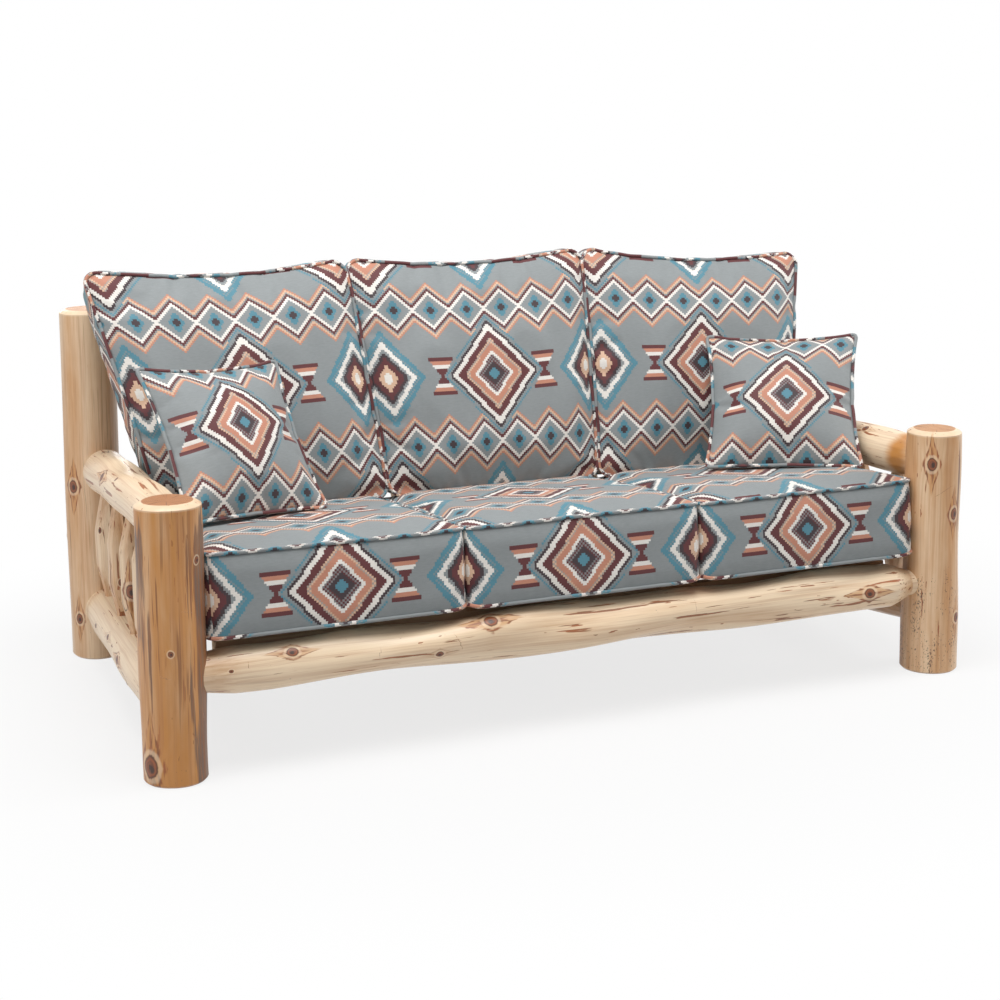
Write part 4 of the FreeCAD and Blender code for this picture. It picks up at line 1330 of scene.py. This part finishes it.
def area_lamp(name, place, aim, size, power):
    """Soft rectangular lamp that points at a spot."""
    data = bpy.data.lights.new(name, "AREA")
    data.shape = "RECTANGLE"
    data.size, data.size_y = size
    data.energy = power
    lamp = bpy.data.objects.new(name, data)
    lamp.location = place
    lamp.rotation_euler = (Vector(aim) - Vector(place)).to_track_quat("-Z", "Y").to_euler()
    bpy.context.scene.collection.objects.link(lamp)
    return lamp


def seen_rays(shader):
    """1 for rays of the camera, of reflections and through glass, else 0."""
    rays = shader.node("ShaderNodeLightPath").output.node.outputs
    kinds = ("Camera", "Glossy", "Transmission")
    camera, glossy, glass = [Value(shader, rays["Is %s Ray" % kind]) for kind in kinds]
    return (camera + glossy + glass).math("MINIMUM", 1.0)


def seen_white(shader, lit):
    """Lit floor that the camera, reflections and glass see mostly as plain white, and wholly so further
    away."""
    near_share, near, far = 0.78, 0.7, 1.7
    white = shader.node("ShaderNodeEmission", None, {"Color": WHITE, "Strength": 1.0})
    x, y, _ = shader.parts(shader.node("ShaderNodeTexCoord", out="Object"))
    away = (x * x * 0.6 + y * y) ** 0.5
    factor = seen_rays(shader) * (near_share + away.rise(near, far) * (1.0 - near_share))
    return shader.node("ShaderNodeMixShader", None, {0: factor, 1: lit, 2: white})


WHITE = (1.0, 1.0, 1.0, 1.0)
FLOOR_GREY = (0.66, 0.66, 0.66, 1.0)
FLOOR_REACH = 30.0
FLOOR_DROP = 0.0004
ROOM_LIGHT = 0.21
AIM = (0.0, 0.0, 0.45)
# Lamps: name, place, size and power
LAMPS = (("key_lamp", (-0.5, -1.1, 4.4), (3.8, 2.4), 196.0),
         ("right_lamp", (3.9, -0.9, 2.2), (2.0, 1.8), 64.0),
         ("left_lamp", (-3.9, -0.9, 2.0), (2.0, 1.8), 40.0),
         ("back_lamp", (0.0, 3.9, 1.5), (2.6, 1.6), 40.0))


class OBJECT_OT_sofa_stage(bpy.types.Operator):
    """Pale floor, soft studio lamps, white surroundings and the camera"""
    bl_idname = "object.sofa_stage"
    bl_label = "Stage"

    def execute(self, context):
        scene = context.scene
        scene.view_settings.view_transform = "Standard"
        floor_shader = Shader("pale_floor")
        lit = floor_shader.node("ShaderNodeBsdfDiffuse", None, {"Color": FLOOR_GREY})
        floor_shader.output(seen_white(floor_shader, lit))
        line = np.linspace(-FLOOR_REACH, FLOOR_REACH, 3)
        x, y = np.meshgrid(line, line, indexing="ij")
        points = np.stack([x.ravel(), y.ravel(), np.full(x.size, -FLOOR_DROP)], -1)
        corner = np.array([0, 1, 3, 4])[:, None]
        quads = np.concatenate([corner, corner + 3, corner + 4, corner + 1], 1)
        floor = put_mesh("studio_floor", points, [quads], floor_shader.material)
        world = Shader("studio_white", world=True)
        dim, white = [world.node("ShaderNodeBackground", None, {"Color": WHITE, "Strength": strength})
                      for strength in (ROOM_LIGHT, 1.0)]
        world.output(world.node("ShaderNodeMixShader", None, {0: seen_rays(world), 1: dim, 2: white}))
        scene.world = world.material
        for name, place, size, power in LAMPS:
            area_lamp(name, place, AIM, size, power)
        settings = scene.sofa_camera
        data = bpy.data.cameras.new("photo_camera")
        data.sensor_fit = "HORIZONTAL"
        data.sensor_width = 36.0
        data.lens = settings.lens
        data.shift_y = settings.shift
        data.clip_end = 200.0
        camera = bpy.data.objects.new("photo_camera", data)
        turn = (Matrix.Rotation(-settings.yaw, 4, "Z") @ Matrix.Rotation(math.pi / 2 - settings.pitch, 4, "X")
                @ Matrix.Rotation(settings.roll, 4, "Z"))
        camera.matrix_world = Matrix.Translation(settings.place) @ turn
        scene.collection.objects.link(camera)
        scene.camera = camera
        return {"FINISHED"}


OPERATORS = (OBJECT_OT_sofa_posts, OBJECT_OT_sofa_side_logs, OBJECT_OT_sofa_rails, OBJECT_OT_sofa_spindles,
             OBJECT_OT_sofa_deck, OBJECT_OT_sofa_seat_cushions, OBJECT_OT_sofa_back_cushions,
             OBJECT_OT_sofa_pillows, OBJECT_OT_sofa_stage)
GROUPS = {"log_looks": LogLooks, "cloth_looks": ClothLooks, "cushion_sizes": CushionSizes,
          "sofa_camera": Camera}


class VIEW3D_PT_log_sofa(bpy.types.Panel):
    """Log sofa tools"""
    bl_label = "Log Sofa"
    bl_idname = "VIEW3D_PT_log_sofa"
    bl_space_type = "VIEW_3D"
    bl_region_type = "UI"
    bl_category = "Log Sofa"

    def draw(self, context):
        layout = self.layout
        for operator in OPERATORS:
            layout.operator(operator.bl_idname)
        for key, group in GROUPS.items():
            box = layout.box()
            settings = getattr(context.scene, key)
            for name in group.__annotations__:
                box.prop(settings, name)


def register():
    for group in GROUPS.values():
        bpy.utils.register_class(group)
    for key, group in GROUPS.items():
        setattr(bpy.types.Scene, key, bpy.props.PointerProperty(type=group))
    for operator in OPERATORS:
        bpy.utils.register_class(operator)
    bpy.utils.register_class(VIEW3D_PT_log_sofa)


def unregister():
    bpy.utils.unregister_class(VIEW3D_PT_log_sofa)
    for operator in reversed(OPERATORS):
        bpy.utils.unregister_class(operator)
    for key in GROUPS:
        delattr(bpy.types.Scene, key)
    for group in reversed(list(GROUPS.values())):
        bpy.utils.unregister_class(group)


def main():
    register()
    bpy.ops.object.sofa_stage()
    bpy.ops.object.sofa_posts()
    bpy.ops.object.sofa_side_logs()
    bpy.ops.object.sofa_rails()
    bpy.ops.object.sofa_spindles()
    bpy.ops.object.sofa_deck()
    bpy.ops.object.sofa_seat_cushions()
    bpy.ops.object.sofa_back_cushions()
    bpy.ops.object.sofa_pillows()


if __name__ == "__main__":
    main()
